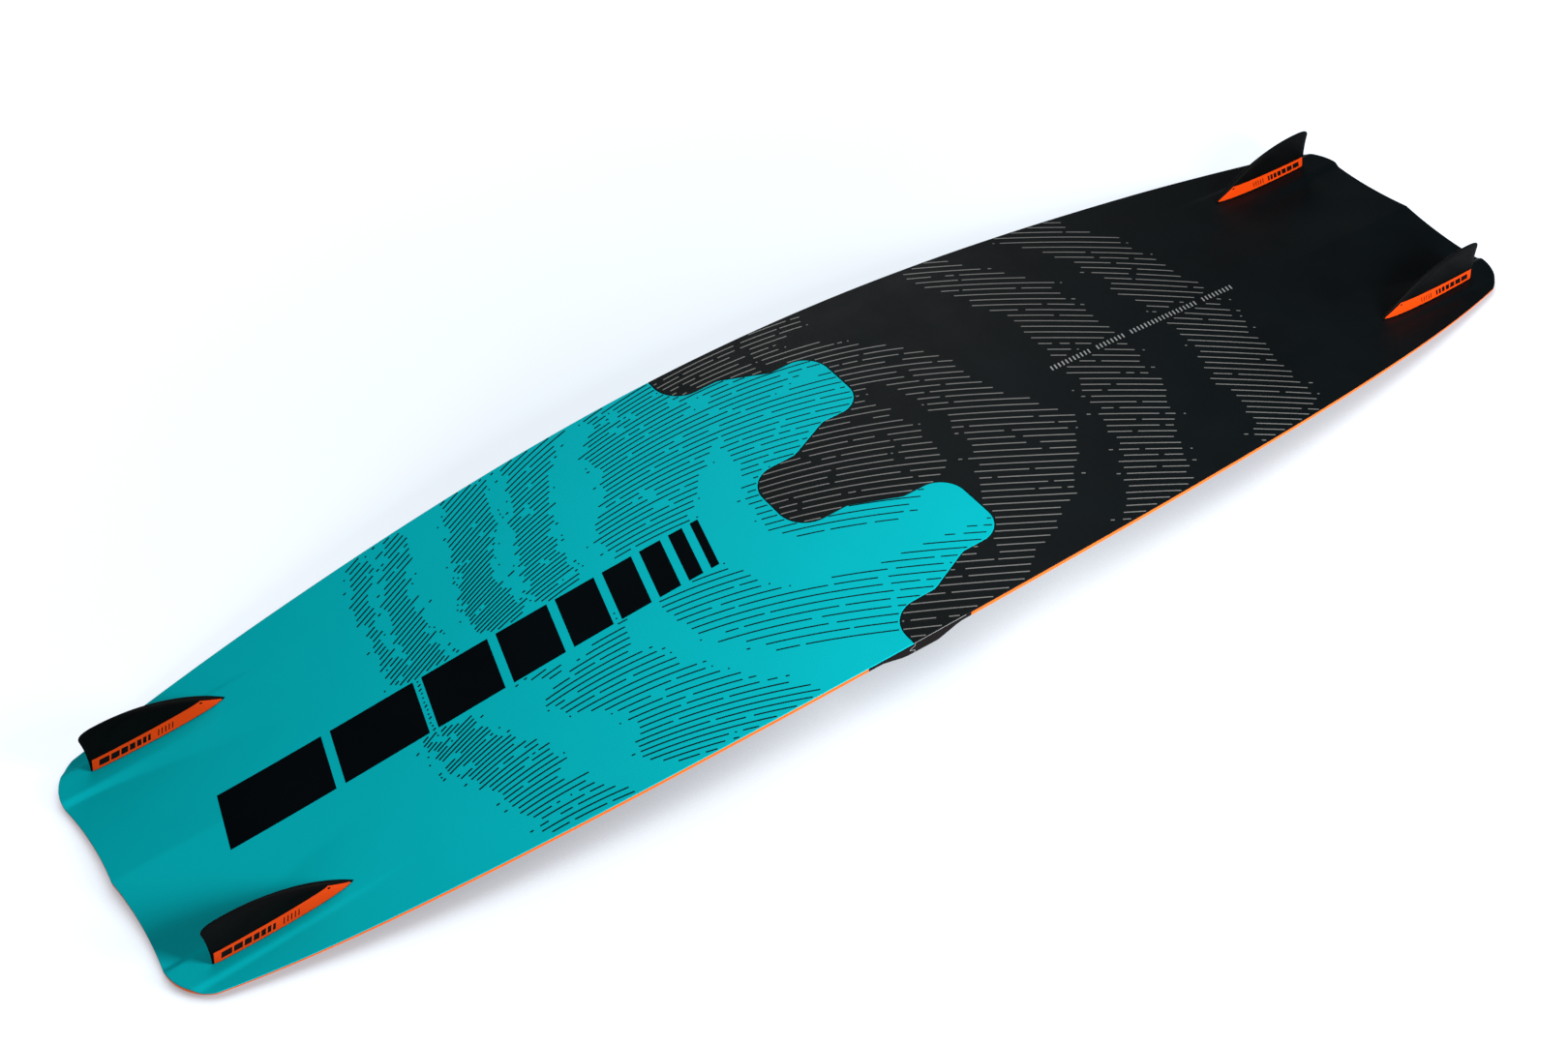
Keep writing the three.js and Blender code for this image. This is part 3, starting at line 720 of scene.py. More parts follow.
def make_teal_housing(name):
    groove = tongue("groove", TONGUE + GAP, GAP)
    return carve(housing_blank(name, -1), [groove] + joint_tools())


def make_black_housing(name):
    nose = tongue("nose", TONGUE, 0)
    cheek = prism("cheek", [tuple(p) for p in OUTLINE], -40, 20, TO_METRES)
    carve(nose, [cheek], "INTERSECT")
    blank = carve(housing_blank(name, 1), [nose], "UNION")
    return carve(blank, joint_tools())


# ---- Joint hardware, screws and inserts ----

def make_bolt(name, y):
    head, shank, groove = BOLT.head, BOLT.shank, BOLT.groove
    start, neck, clip, end = BOLT.start, BOLT.neck, BOLT.clip, BOLT.end
    profile = [(0, start), (head - 0.5, start), (head - 0.15, start + 0.15), (head, start + 0.5),
               (head, neck - 0.3), (head - 0.3, neck), (shank, neck), (shank, clip - 0.8),
               (groove, clip - 0.8), (groove, clip + 0.8), (shank, clip + 0.8)]
    profile += thread(shank, 0.36, 0.8, clip + 6, end - 1)
    profile += [(shank - 0.8, end), (0, end)]
    bolt = lathe(name, profile, on_bolt_line(y), 48)
    return carve(bolt, [rod("key", 2.3, start - 1, start + 3, on_bolt_line(y), 6)])


def make_clip(name, y):
    """Open retaining ring in the bolt's groove."""
    inner, outer = BOLT.groove + GAP, BOLT.head + GAP
    turn = np.radians(np.linspace(-65, 245, 46))
    ring = [(r * math.cos(a), r * math.sin(a))
            for r, angles in ((outer, turn), (inner, turn[::-1])) for a in angles]
    return prism(name, ring, BOLT.clip - 0.5, BOLT.clip + 0.5, on_bolt_line(y))


def make_nut(name, y):
    r, low, high = NUT.radius, NUT.low, NUT.high
    body = lathe(name, [(0, low), (r - 0.5, low), (r, low + 0.5), (r, high - 0.5), (r - 0.5, high),
                        (0, high)], through_nut(y), 48)
    bore = rod("bore", BOLT.shank + GAP, NUT.x - 20, NUT.x + 20, on_bolt_line(y))
    slot = box("slot", NUT.x - 0.6, NUT.x + 0.6, y - 8, y + 8, low - 2, low + 0.9)
    return carve(body, [bore, slot])


def make_dowel(name, y):
    r, nose = DOWEL.radius, DOWEL.nose
    back, cone, end = DOWEL.back, DOWEL.cone, DOWEL.end
    profile = [(0, end), (nose - 0.7, end), (nose - 0.2, end + 0.25), (nose, end + 0.9),
               (r - 0.1, cone - 0.4), (r, cone + 0.4)]
    for x in (-73, -70.5, -68):  # grip rings
        profile += [(r, x - 0.5), (r - 0.25, x - 0.25), (r - 0.25, x + 0.25), (r, x + 0.5)]
    profile += [(r, back - 0.4), (r - 0.4, back), (0, back)]
    return lathe(name, profile, on_bolt_line(y), 48)


def make_bush(name, y):
    outer, mouth, throat = BUSH.radius, BUSH.mouth, BUSH.throat
    start, end = BUSH.start, BUSH.end
    profile = [(throat, end), (outer - 0.3, end), (outer, end + 0.3), (outer, end + 2.6),
               (outer - 0.3, end + 3), (outer - 0.3, end + 6.6), (outer, end + 7),
               (outer, start - 0.3), (outer - 0.3, start), (mouth + 0.2, start),
               (mouth, start - 0.2)]
    return lathe(name, profile, on_bolt_line(y), 48, closed=True)


def make_screw(name):
    under = -FIN_DECK_DEPTH - WASHER.thickness - GAP
    low = under - SCREW.head_height
    head, shank = SCREW.head, SCREW.radius
    profile = [(0, low), (head - 1.5, low), (head - 0.9, low + 0.12), (head - 0.3, low + 0.6),
               (head, low + 1.4), (head, under), (shank, under), (shank, under + 3)]
    profile += thread(shank, 0.4, 1.0, under + 3, SCREW.reach - 1)
    profile += [(shank - 0.7, SCREW.reach), (0, SCREW.reach)]
    screw = lathe(name, profile, TO_METRES, 32)
    return carve(screw, [rod("key", 1.8, low - 1, low + 1.6, TO_METRES, 6)])


def make_washer(name):
    inner, outer = SCREW.radius + GAP, WASHER.radius
    low, high = -FIN_DECK_DEPTH - WASHER.thickness, -FIN_DECK_DEPTH
    profile = [(inner, low), (outer - 0.25, low), (outer, low + 0.25), (outer, high - 0.1),
               (outer - 0.1, high), (inner, high)]
    return lathe(name, profile, TO_METRES, 48, closed=True)


def make_insert(name):
    hole, outer, length = INSERT.hole, INSERT.radius, INSERT.length
    floor = length - 1
    profile = [(0, floor), (hole - 0.2, floor)]
    for h in np.arange(floor - 0.7, 0.9, -1.0):
        profile += [(hole - 0.2, h), (hole, h - 0.3), (hole, h - 0.6), (hole - 0.2, h - 0.9)]
    profile += [(hole - 0.2, 0.35), (hole + 0.25, 0)]
    profile += [(outer - 0.25, 0), (outer, 0.25), (outer, 1.2)]
    for h in (1.8, 3.0, 4.2):
        profile += [(outer - 0.5, h - 0.4), (outer - 0.5, h), (outer, h + 0.6)]
    profile += [(outer, length - 0.5), (outer - 0.5, length), (0, length)]
    return lathe(name, profile, TO_METRES, 40)


# ---- Fins ----

FIN_TIP = (46, FIN.height)
FIN_HEEL = (57.8, 37)
FIN_FREE = np.concatenate([
    bezier([(-FIN.half_length, GAP), (-40, 20), (-2, FIN.height), FIN_TIP], 46),
    bezier([FIN_TIP, (57.6, FIN.height - 0.4), FIN_HEEL], 12)[1:],
    bezier([FIN_HEEL, (56, 20), (FIN.half_length, GAP)], 26)[1:]])
FIN_LOOP = np.concatenate([FIN_FREE[:-1], filled_in(FIN_FREE[[-1, 0]], 4)[:-1]])[::-1]
FIN_PLAN = bezier([(-60.5, 0.3), (-48, 5.4), (0, 6), (60.5, 1.4)], 60)


def fin_half_thickness(flat):
    """Lens section, thinner towards the top and rounded off at the free edges."""
    x, z = flat.T
    lens = np.interp(x, *FIN_PLAN.T) * (1 - FIN.thinning * z / FIN.height)
    nose = np.clip(distance_to(flat, FIN_FREE) / FIN.edge, 0, 1)
    return lens * np.sqrt(np.clip(1 - (1 - nose) ** 2, 0, 1)) * FIN.clearance


def fin_net(loops, spacing, insets=(0.0,)):
    """Flat net inside loops in the fin's side view."""
    grid = grid_points(np.arange(-62, 62, spacing), np.arange(0, 46, spacing))
    return flat_net([(loop, True, 1) for loop in loops], insets, grid,
                    lambda points: in_any(points, loops), max(insets) + 0.5 * spacing,
                    SMALLEST_FIN_AREA)


def two_sided(name, loops, sink, rise, matrix):
    """Shapes on both sides of a fin, closed between two depths from its surface."""
    flat, triangles = fin_net(loops, 3)
    width = fin_half_thickness(flat)
    shell = shell_faces(triangles, len(flat))
    points, faces = [], []
    for side in (1, -1):
        base = len(points)
        points += [(x, side * w, z) for level in (width + rise, width - sink)
                   for (x, z), w in zip(flat, level)]
        faces += [tuple(v + base for v in face[::-side]) for face in shell]
    return make_object(name, points, faces, TO_METRES @ matrix)


def make_fin(name, matrix):
    flat, triangles = fin_net([FIN_LOOP], 2.6, (0.0, 0.25, 0.8, 1.8, 3.2, 5.0))
    rim, n = rim_of(triangles), len(flat)
    free = {v for edge in rim for v in edge if flat[v, 1] > GAP + 0.01}
    width = fin_half_thickness(flat)
    width[list(free)] = 0.0
    points = [(x, side * w, z) for side in (1, -1) for (x, z), w in zip(flat, width)]
    twin = [v if v in free else v + n for v in range(n)]
    faces = [tuple(t)[::-1] for t in triangles.tolist()]
    faces += [tuple(twin[v] for v in t) for t in triangles.tolist()]
    faces += flat_faces([(a, b, twin[b], twin[a]) for a, b in rim])
    used = sorted({v for f in faces for v in f})
    index = {v: k for k, v in enumerate(used)}
    return make_object(name, [points[v] for v in used],
                       [tuple(index[v] for v in f) for f in faces], TO_METRES @ matrix)


def slanted(left, right, foot, top, lean):
    """Corners of a slanted block."""
    return np.array([(left, foot), (right, foot), (right + lean, top), (left + lean, top)])


def band_parts(name, matrix):
    """Coloured band along the foot of a fin, and the small plain marks printed on it."""
    foot = np.array([(57.9, 0.9), (55.2, 12.4), (-39.5, 13.4), (-55.6, 2.2), (-56.2, 0.9)])
    marks, right = [], 51.0
    for length in (8.6, 7.1, 5.8, 4.7, 3.7, 2.9, 2.2):
        marks.append((right - length, right))
        right -= length + 1.5
    right -= 5
    for _ in range(5):
        marks.append((right - 0.9, right))
        right -= 3.1
    marks = [filled_loop(slanted(left + 1, right + 1, 3.4, 9.4, -2), 3) for left, right in marks]
    return (two_sided(name, [filled_loop(foot, 3)], 0.12, 0.12, matrix),
            two_sided(name + "_marks", marks, 0.02, 0.17, matrix))


# ---- Printed graphic ----
# A hatch of curved lines that runs across both halves. It is dense in a few bands across the board,
# and breaks up into dashes at their edges.

def line_angle(x, y):
    """Direction of the hatch in degrees from +X, fitted to measured lines."""
    u, v = x / 400, y / 200
    left = (-21.6 - 27.0 * u + 18.0 * v + 14.6 * u * u - 16.6 * u * v + 5.9 * v * v
            - 4.4 * u ** 3 - 4.5 * u * u * v + 9.0 * u * v * v - 3.5 * v ** 3)
    right = -30 - 0.03 * (x - 150) + 0.05 * np.maximum(0, y - 60)
    return np.clip(left + (right - left) * smooth_step((x - 60) / 180), -40, 24)


# Each family starts its lines at one station: x, first x, last x, and (y, spacing) across.
FAMILIES = (
    (-390, -450, -318, ((-180, 5.4), (-120, 5.0), (-90, 4.4), (-60, 3.9), (30, 3.9), (60, 4.4),
                        (120, 5.0), (180, 5.4))),
    (-270, -350, -152, ((-180, 5.7), (-150, 5.9), (-120, 6.8), (-90, 6.4), (-30, 5.6), (30, 4.3),
                        (60, 4.1), (120, 4.4), (180, 5.1))),
    (-40, -222, 214, ((-180, 10.1), (-120, 9.1), (-60, 8.5), (0, 7.9), (60, 7.2), (120, 6.4),
                      (180, 5.6))),
    (272, 120, 330, ((-180, 9.2), (-60, 9.9), (0, 10.3), (90, 9.9), (150, 8.8), (180, 8.2))),
    (390, 296, 450, ((-180, 9.4), (-120, 9.6), (-60, 10.2), (0, 10.5), (120, 10.2), (180, 9.0))),
)
# Rows of y, left x, right x for the bands of each family.
BANDS = (
    (((188, -388, -376), (150, -402, -377), (128, -410, -396), (60, -421, -407), (40, -426, -402),
      (8, -414, -405), (-22, -428, -414), (-40, -433, -393), (-80, -427, -388), (-104, -417, -384)),
     ((186, -354, -334), (150, -374, -342), (118, -388, -362), (60, -402, -369), (27, -403, -374)),
     ((-32, -402, -386), (-60, -400, -382), (-104, -414, -353), (-150, -402, -347),
      (-192, -394, -318))),
    (((197, -287, -246), (160, -302, -258), (135, -312, -268), (98, -326, -294), (66, -339, -300),
      (36, -341, -294), (14, -322, -312), (-28, -338, -318), (-45, -324, -303)),
     ((197, -232, -158), (180, -232, -182), (150, -246, -206), (118, -262, -220), (90, -274, -240),
      (40, -289, -243), (0, -262, -242), (-40, -282, -240), (-60, -338, -258), (-80, -332, -232),
      (-100, -303, -228), (-125, -288, -212), (-150, -304, -184), (-172, -296, -168),
      (-197, -262, -152))),
    (((197, -142, -74), (178, -144, -56), (152, -172, 10), (128, -168, 66), (100, -180, -62),
      (62, -212, -108), (28, -214, -142)),
     ((112, -44, 68), (92, -66, 76), (60, -66, 70), (42, -76, 76), (0, -93, 82), (-32, -90, 84),
      (-52, -74, 76), (-72, -24, 20), (-82, 10, 22)),
     ((-30, -206, -142), (-62, -208, -134), (-90, -204, -116), (-110, -184, -40), (-122, -176, 66),
      (-146, -156, 124), (-162, -126, 108), (-178, -92, 70), (-197, -66, 44)),
     ((197, -64, 92), (178, -64, 88), (168, -58, 30), (150, -18, 88), (120, 66, 118),
      (100, 66, 140), (72, 66, 160), (74, 94, 160), (46, 98, 166), (0, 114, 176), (-20, 110, 186),
      (-48, 102, 204), (-72, 88, 206), (-96, 72, 184), (-122, 70, 160), (-146, 60, 140))),
    (((197, 202, 240), (160, 208, 262), (128, 224, 296), (100, 240, 314), (70, 248, 312),
      (20, 243, 316), (-30, 241, 308), (-70, 228, 304), (-110, 214, 280), (-150, 190, 254),
      (-182, 164, 238), (-200, 140, 216)),),
    (((192, 302, 372), (160, 325, 388), (120, 348, 414), (90, 358, 421), (50, 358, 426),
      (10, 368, 431), (-40, 362, 426), (-75, 352, 421), (-100, 342, 412), (-120, 349, 409),
      (-150, 336, 404), (-176, 320, 394), (-192, 310, 372)),),
)
BAR_LEFT, BAR_TOP, BAR_FOOT, BAR_SLANT = -599.0, 26.0, -28.5, 0.255
BAR_LENGTHS = (92, 76, 62, 49, 38, 29, 21, 14, 8)
BAR_SPACE = 8.0
TICKS_LEFT = 231.0
TICK_GROUPS = (11, 8, 19, 9)
HATCH_SEED = 41
HATCH_STEP = 1.5  # along X between the points of a line


def speed_bars():
    """Slanted blocks that get shorter towards the middle of the board."""
    bars, left = [], BAR_LEFT
    lean = BAR_SLANT * (BAR_TOP - BAR_FOOT)
    for length in BAR_LENGTHS:
        bars.append(slanted(left, left + length, BAR_FOOT, BAR_TOP, lean))
        left += length + BAR_SPACE
    return bars


def small_marks():
    """A row of short slanted ticks in four groups."""
    marks, x = [], TICKS_LEFT
    for count in TICK_GROUPS:
        for _ in range(count):
            y = -1.5 + 0.014 * (x - TICKS_LEFT)
            marks.append(slanted(x, x + 1.5, y - 2.8, y + 2.8, 1.2))
            x += 4.4
        x += 6
    return marks


def traced_lines(family, rng):
    """All lines of one family as arrays of x, and of y with a row for each line."""
    start, first, last, spacings = family
    seeds = [-400.0]
    while seeds[-1] < 400:
        seeds.append(seeds[-1] + np.interp(seeds[-1], *zip(*spacings)))
    seeds = np.array(seeds) + rng.uniform(-0.12, 0.12, len(seeds))
    sides = []
    for stop in (first, last):
        step = math.copysign(HATCH_STEP, stop - start)
        xs, rows = [start], [seeds]
        while (stop - xs[-1]) * step > 0:
            x, y = xs[-1], rows[-1]
            slope = np.tan(np.radians(line_angle(x, y)))
            half_way = line_angle(x + step / 2, y + step / 2 * slope)
            rows.append(y + step * np.tan(np.radians(half_way)))
            xs.append(x + step)
        sides.append((xs, rows))
    (left_xs, left_rows), (right_xs, right_rows) = sides
    return np.array(left_xs[:0:-1] + right_xs), np.array(left_rows[:0:-1] + right_rows).T


def band_mask(x, y, band, ragged):
    rows = np.array(band)[::-1]
    left = np.interp(y, rows[:, 0], rows[:, 1])
    right = np.interp(y, rows[:, 0], rows[:, 2])
    return ((x > left + ragged[0]) & (x < right + ragged[1])
            & (y < rows[-1, 0]) & (y > rows[0, 0]))


def runs_of(mask):
    """Starts and ends of the stretches of a mask that are true."""
    padded = np.concatenate([[False], mask, [False]])
    change = np.flatnonzero(padded[1:] != padded[:-1])
    return list(zip(change[::2], change[1::2]))


def worn_places(xs, y):
    """Clouds that say where a line is worn away."""
    return np.array([noise.noise(Vector((a / 13, b / 5.5, 3.7)))
                     + 0.8 * noise.noise(Vector((a / 34, b / 60, 9.1))) for a, b in zip(xs, y)])


def hatch_dashes():
    """Every dash of the hatch as a short line of points."""
    rng = np.random.default_rng(HATCH_SEED)
    dashes = []
    for family, bands in zip(FAMILIES, BANDS):
        xs, ys = traced_lines(family, rng)
        start = family[0]
        for y in ys[np.any(np.abs(ys) <= MIDDLE_HALF_WIDTH, axis=1)]:
            mask = np.zeros(len(xs), bool)
            for band in bands:
                mask |= band_mask(xs, y, band, rng.uniform(-4, 4, 2))
            mask &= worn_places(xs, y) < (0.6 if start < 200 else 0.8)
            for a, b in runs_of(mask):  # stray dots off the ends
                for at, way in ((a, -1), (b, 1)):
                    if rng.random() < (0.42 if start < -100 else 0.22):
                        gap, size = rng.integers(2, 4), rng.integers(1, 4)
                        low, high = sorted((at + way * gap, at + way * (gap + size)))
                        mask[max(low, 0):max(high, 0)] = True
            for a, b in runs_of(mask):  # breaks in the long ones
                for _ in range((b - a) // 34):
                    if rng.random() < 0.45:
                        at = rng.integers(a + 6, b - 6)
                        mask[at:at + 2] = False
            dashes += [np.stack([xs[a:b], y[a:b]], 1) for a, b in runs_of(mask) if b - a >= 2]
    return dashes


def cut_dashes(dashes, end, blocked):
    """The parts of the dashes that lie on one half, clear of its edge and of other marks."""
    flat = np.concatenate(dashes)
    ok = inside(flat, board_outline(1.3)) & side_of_seam(flat, end, SEAM_GAP / 2 + 0.7)
    for loop in blocked:
        near = np.all((flat > loop.min(0)) & (flat < loop.max(0)), axis=1) & ok
        ok[near] = ~inside(flat[near], loop)
    out, at = [], 0
    for n in map(len, dashes):
        out += [flat[at + a:at + b] for a, b in runs_of(ok[at:at + n]) if b - a >= 2]
        at += n
    return out


def strip_faces(base, n):
    """Faces of a closed strip of n cross-sections with four points each."""
    faces = []
    for i in range(n - 1):
        a, b = base + 4 * i, base + 4 * i + 4
        faces += [(a + k, a + (k + 1) % 4, b + (k + 1) % 4, b + k) for k in range(4)]
    last = base + 4 * (n - 1)
    return faces + [(base + 3, base + 2, base + 1, base), (last, last + 1, last + 2, last + 3)]


def ribbons(name, dashes, half):
    """Thin raised strips of ink along the dashes."""
    rise, sink = 0.05, 0.05
    points, faces = [], []
    for dash in dashes:
        n = max(2, math.ceil(len(dash) / 7) + 1)
        knots = dash[np.round(np.linspace(0, len(dash) - 1, n)).astype(int)]
        left, right = move_sideways(knots, half), move_sideways(knots, -half)
        faces += strip_faces(len(points), n)
        for l, r in zip(left, right):
            zl, zr = float(base_z(l[0], l[1])), float(base_z(r[0], r[1]))
            points += [(*l, zl + rise), (*r, zr + rise), (*r, zr - sink), (*l, zl - sink)]
    return make_object(name, points, faces, TO_METRES, 30)


def edge_highlight_lines(name):
    """Pale line painted as a highlight along the edge where the black base ends beside the joint,
    and down round the tongue's end.
    """
    half, rise, sink = 0.28, 0.05, 0.1
    path = filled_in(np.array([(-20, 0.5), (-71.3, 0.5), (-71.3, 3.5), (-76.1, 5.6),
                               (-76.1, 6.4), (-71.3, 8.5), (-71.3, 12.2)]), 3)
    left, right = move_sideways(path, half), move_sideways(path, -half)
    points, faces = [], []
    for way in (-1, 1):
        strip = strip_faces(len(points), len(path))
        faces += strip if way > 0 else [face[::-1] for face in strip]
        for l, r in zip(left, right):
            for (x, depth), out in ((l, rise), (r, rise), (r, -sink), (l, -sink)):
                points.append((x, way * (half_width(x) + out), base_z(x, half_width(x)) - depth))
    return make_object(name, points, faces, TO_METRES, 30)


def ink_plates(name, loops):
    """Thin printed shapes on the base."""
    loops = [filled_loop(loop, 6) for loop in loops]
    grid = grid_points(np.arange(-604, 470, 7.0), FINE_Y[np.abs(FINE_Y) < 32])
    return plate(name, [(loop, True, 1) for loop in loops], lambda points: in_any(points, loops),
                 lambda x, y: base_z(x, y) + 0.06, lambda x, y: base_z(x, y) - 0.05, grid,
                 clear=0.8)


# ---- Materials ----

class Finish:
    """A node material on the Principled shader, with helpers for its patterns."""

    def __init__(self, name, **sockets):
        self.material = bpy.data.materials.new(name)
        self.material.use_nodes = True
        self.tree = self.material.node_tree
        self.shader = self.tree.nodes["Principled BSDF"]
        self.place = self.node("ShaderNodeTexCoord").outputs["Object"]
        for socket, value in sockets.items():
            self.shader.inputs[socket.replace("_", " ")].default_value = value

    def node(self, kind, **settings):
        made = self.tree.nodes.new(kind)
        for key, value in settings.items():
            if key in made.inputs:
                made.inputs[key].default_value = value
            else:
                setattr(made, key, value)
        return made

    def link(self, source, target):
        self.tree.links.new(source, target)

    def stretched(self, scale, rotation=(0, 0, 0)):
        mapping = self.node("ShaderNodeMapping")
        mapping.inputs["Scale"].default_value = scale
        mapping.inputs["Rotation"].default_value = rotation
        self.link(self.place, mapping.inputs["Vector"])
        return mapping.outputs["Vector"]

    def clouds(self, scale, detail, vector=None):
        made = self.node("ShaderNodeTexNoise", Scale=scale, Detail=detail)
        self.link(vector or self.place, made.inputs["Vector"])
        return made.outputs["Fac"]

    def waves(self, scale, distortion, vector, detail=2.0, detail_scale=1.0):
        made = self.node("ShaderNodeTexWave", Scale=scale, Distortion=distortion, Detail=detail)
        made.inputs["Detail Scale"].default_value = detail_scale
        self.link(vector, made.inputs["Vector"])
        return made.outputs["Fac"]

    def combine(self, a, b, operation="MULTIPLY"):
        made = self.node("ShaderNodeMath", operation=operation)
        self.link(a, made.inputs[0])
        self.link(b, made.inputs[1])
        return made.outputs[0]

    def spread(self, source, low, high, out_low, out_high):
        made = self.node("ShaderNodeMapRange")
        for key, value in (("From Min", low), ("From Max", high), ("To Min", out_low),
                           ("To Max", out_high)):
            made.inputs[key].default_value = value
        self.link(source, made.inputs["Value"])
        return made.outputs["Result"]

    def colours(self, source, stops):
        ramp = self.node("ShaderNodeValToRGB")
        elements = ramp.color_ramp.elements
        for k, (at, colour) in enumerate(stops):
            element = elements[k] if k < 2 else elements.new(at)
            element.position = at
            element.color = (*colour, 1)
        self.link(source, ramp.inputs["Fac"])
        self.link(ramp.outputs["Color"], self.shader.inputs["Base Color"])

    def rough(self, source, low, high):
        self.link(self.spread(source, 0.3, 0.7, low, high), self.shader.inputs["Roughness"])

    def bump(self, source, strength, distance):
        made = self.node("ShaderNodeBump", Strength=strength, Distance=distance)
        self.link(source, made.inputs["Height"])
        self.link(made.outputs["Normal"], self.shader.inputs["Normal"])


def both_ways(colour, spread):
    """A colour a little darker and a little lighter."""
    return [tuple(min(1.0, c * factor) for c in colour) for factor in (1 - spread, 1 + spread)]


def print_finish(name, colour, spread, specular=0.5, roughness=0.5):
    """Satin printed laminate: faint clouds in the colour and a fine moulded texture."""
    made = Finish(name, Specular_IOR_Level=specular)
    made.colours(made.clouds(9, 4), zip((0.3, 0.7), both_ways(colour, spread)))
    made.rough(made.clouds(30, 3), roughness - 0.04, roughness + 0.05)
    made.bump(made.clouds(650, 2), 0.12, 0.0004)
    return made.material


def moulded_finish(name, colour, spread, grain, specular):
    made = Finish(name, Specular_IOR_Level=specular)
    made.colours(made.clouds(grain, 3), zip((0.35, 0.65), both_ways(colour, spread)))
    made.rough(made.clouds(45, 2), 0.45, 0.56)
    made.bump(made.clouds(900, 2), 0.25, 0.0003)
    return made.material


def weave_finish(name, dark, light, size, strength, roughness, specular=0.5):
    """Fibre laminate under a thin resin: two crossed sets of yarn."""
    made = Finish(name, Specular_IOR_Level=specular)
    one, two = (made.waves(size, 0.4, made.stretched((1, 1, 1), (0, 0, math.radians(turn))))
                for turn in (45, -45))
    yarn = made.combine(one, two)
    mottled = made.combine(yarn, made.clouds(24, 3), "ADD")
    made.colours(mottled, [(0.4, dark), (1.1 / 1.2, light)])
    made.rough(made.clouds(40, 3), roughness - 0.05, roughness + 0.05)
    made.bump(yarn, strength, 0.0003)
    return made.material


def metal_finish(name, colour, spread, stretch, roughness):
    made = Finish(name, Metallic=1.0)
    lines = made.clouds(1.0, 3, made.stretched(stretch))
    made.colours(lines, zip((0.3, 0.7), both_ways(colour, spread)))
    made.rough(lines, roughness - 0.06, roughness + 0.08)
    made.bump(lines, 0.2, 0.0001)
    return made.material


def wood_finish(name):
    made = Finish(name, Roughness=0.68)
    grain = made.waves(9, 5.5, made.stretched((0.6, 12, 12)), 3, 1.4)
    fibre = made.clouds(1.0, 4, made.stretched((14, 900, 900)))
    mixed = made.combine(grain, fibre, "ADD")
    made.colours(mixed, [(0.45, (0.36, 0.23, 0.12)), (0.98, (0.66, 0.49, 0.28))])
    made.bump(fibre, 0.3, 0.0003)
    return made.material


MATERIALS = {
    "teal_base": print_finish("teal_print", (0.0, 0.47, 0.53), 0.02, 0.03),
    "black_base": print_finish("black_print", (0.0014, 0.0033, 0.0041), 0.25, 0.1, 0.46),
    "teal_ink": print_finish("ink_on_teal", (0.002, 0.013, 0.016), 0.2, 0.04),
    "bar_ink": print_finish("bar_ink", (0.0009, 0.0024, 0.0036), 0.2, 0.03, 0.85),
    "grey_ink": print_finish("ink_on_black", (0.17, 0.17, 0.165), 0.12),
    # pale ink for the printed ticks; it also paints the highlight line along the black base's edge
    # by the joint
    "pale_ink_and_edge_highlight": print_finish("mark_ink_and_edge_highlight", (0.26, 0.27, 0.27), 0.08),
    "deck": weave_finish("deck_laminate", (0.008, 0.009, 0.010), (0.022, 0.024, 0.026), 130, 0.35,
                         0.42),
    "wood": wood_finish("paulownia"),
    "rail": moulded_finish("rail_plastic", (0.93, 0.15, 0.006), 0.05, 60, 0.2),
    "joint": moulded_finish("filled_nylon", (0.0048, 0.0026, 0.0026), 0.25, 500, 0.06),
    "fin": weave_finish("fin_laminate", (0.0012, 0.0013, 0.0014), (0.0032, 0.0034, 0.0036), 260,
                        0.2, 0.5, 0.03),
    "band": print_finish("fin_band", (0.8, 0.06, 0.002), 0.06, 0.1),
    "band_ink": print_finish("band_ink", (0.006, 0.003, 0.003), 0.2, 0.1),
    "steel": metal_finish("stainless", (0.62, 0.63, 0.64), 0.1, (40, 900, 900), 0.3),
    "brass": metal_finish("turned_brass", (0.72, 0.52, 0.24), 0.12, (900, 300, 300), 0.34),
}


def dress(obj, body, material, slot, *nodes):
    obj.data.materials.clear()
    obj.data.materials.append(MATERIALS[material])
    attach(obj, body)
    if nodes:
        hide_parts(*nodes)


# ---- Putting it together ----

ENDS = {"teal": -1, "black": 1}

for half, end in ENDS.items():
    for make, part, material, slot, node in (
            (make_base, "base", f"{half}_base", f"{half}_base", "base_laminate"),
            (make_deck, "deck", "deck", "deck", "deck_laminate"),
            (make_rail, "rail", "rail", "rail", "edge_rail"),
            (make_core, "core", "wood", "core", "wood_core")):
        dress(make(f"{half}_{part}", end), f"{half}_half", material, slot, f"{half}_{node}")
dress(make_teal_housing("teal_housing"), "teal_half", "joint", "joint", "teal_joint_housing")
dress(make_black_housing("black_housing"), "black_half", "joint", "joint", "black_joint_housing")

for side, way in (("near", -1), ("far", 1)):
    turning = f"{side}_joint_bolt"
    for make, part, y, body, metal, node in (
            (make_bolt, "bolt", BOLT_Y, turning, "steel", "joint_bolt"),
            (make_clip, "clip", BOLT_Y, turning, "steel", "bolt_clip"),
            (make_nut, "nut", BOLT_Y, "black_half", "brass", "barrel_nut"),
            (make_dowel, "dowel", DOWEL.y, "black_half", "steel", "locating_dowel"),
            (make_bush, "bush", DOWEL.y, "teal_half", "brass", "dowel_bush")):
        dress(make(f"{side}_{part}", way * y), body, metal, metal, f"{side}_{node}")

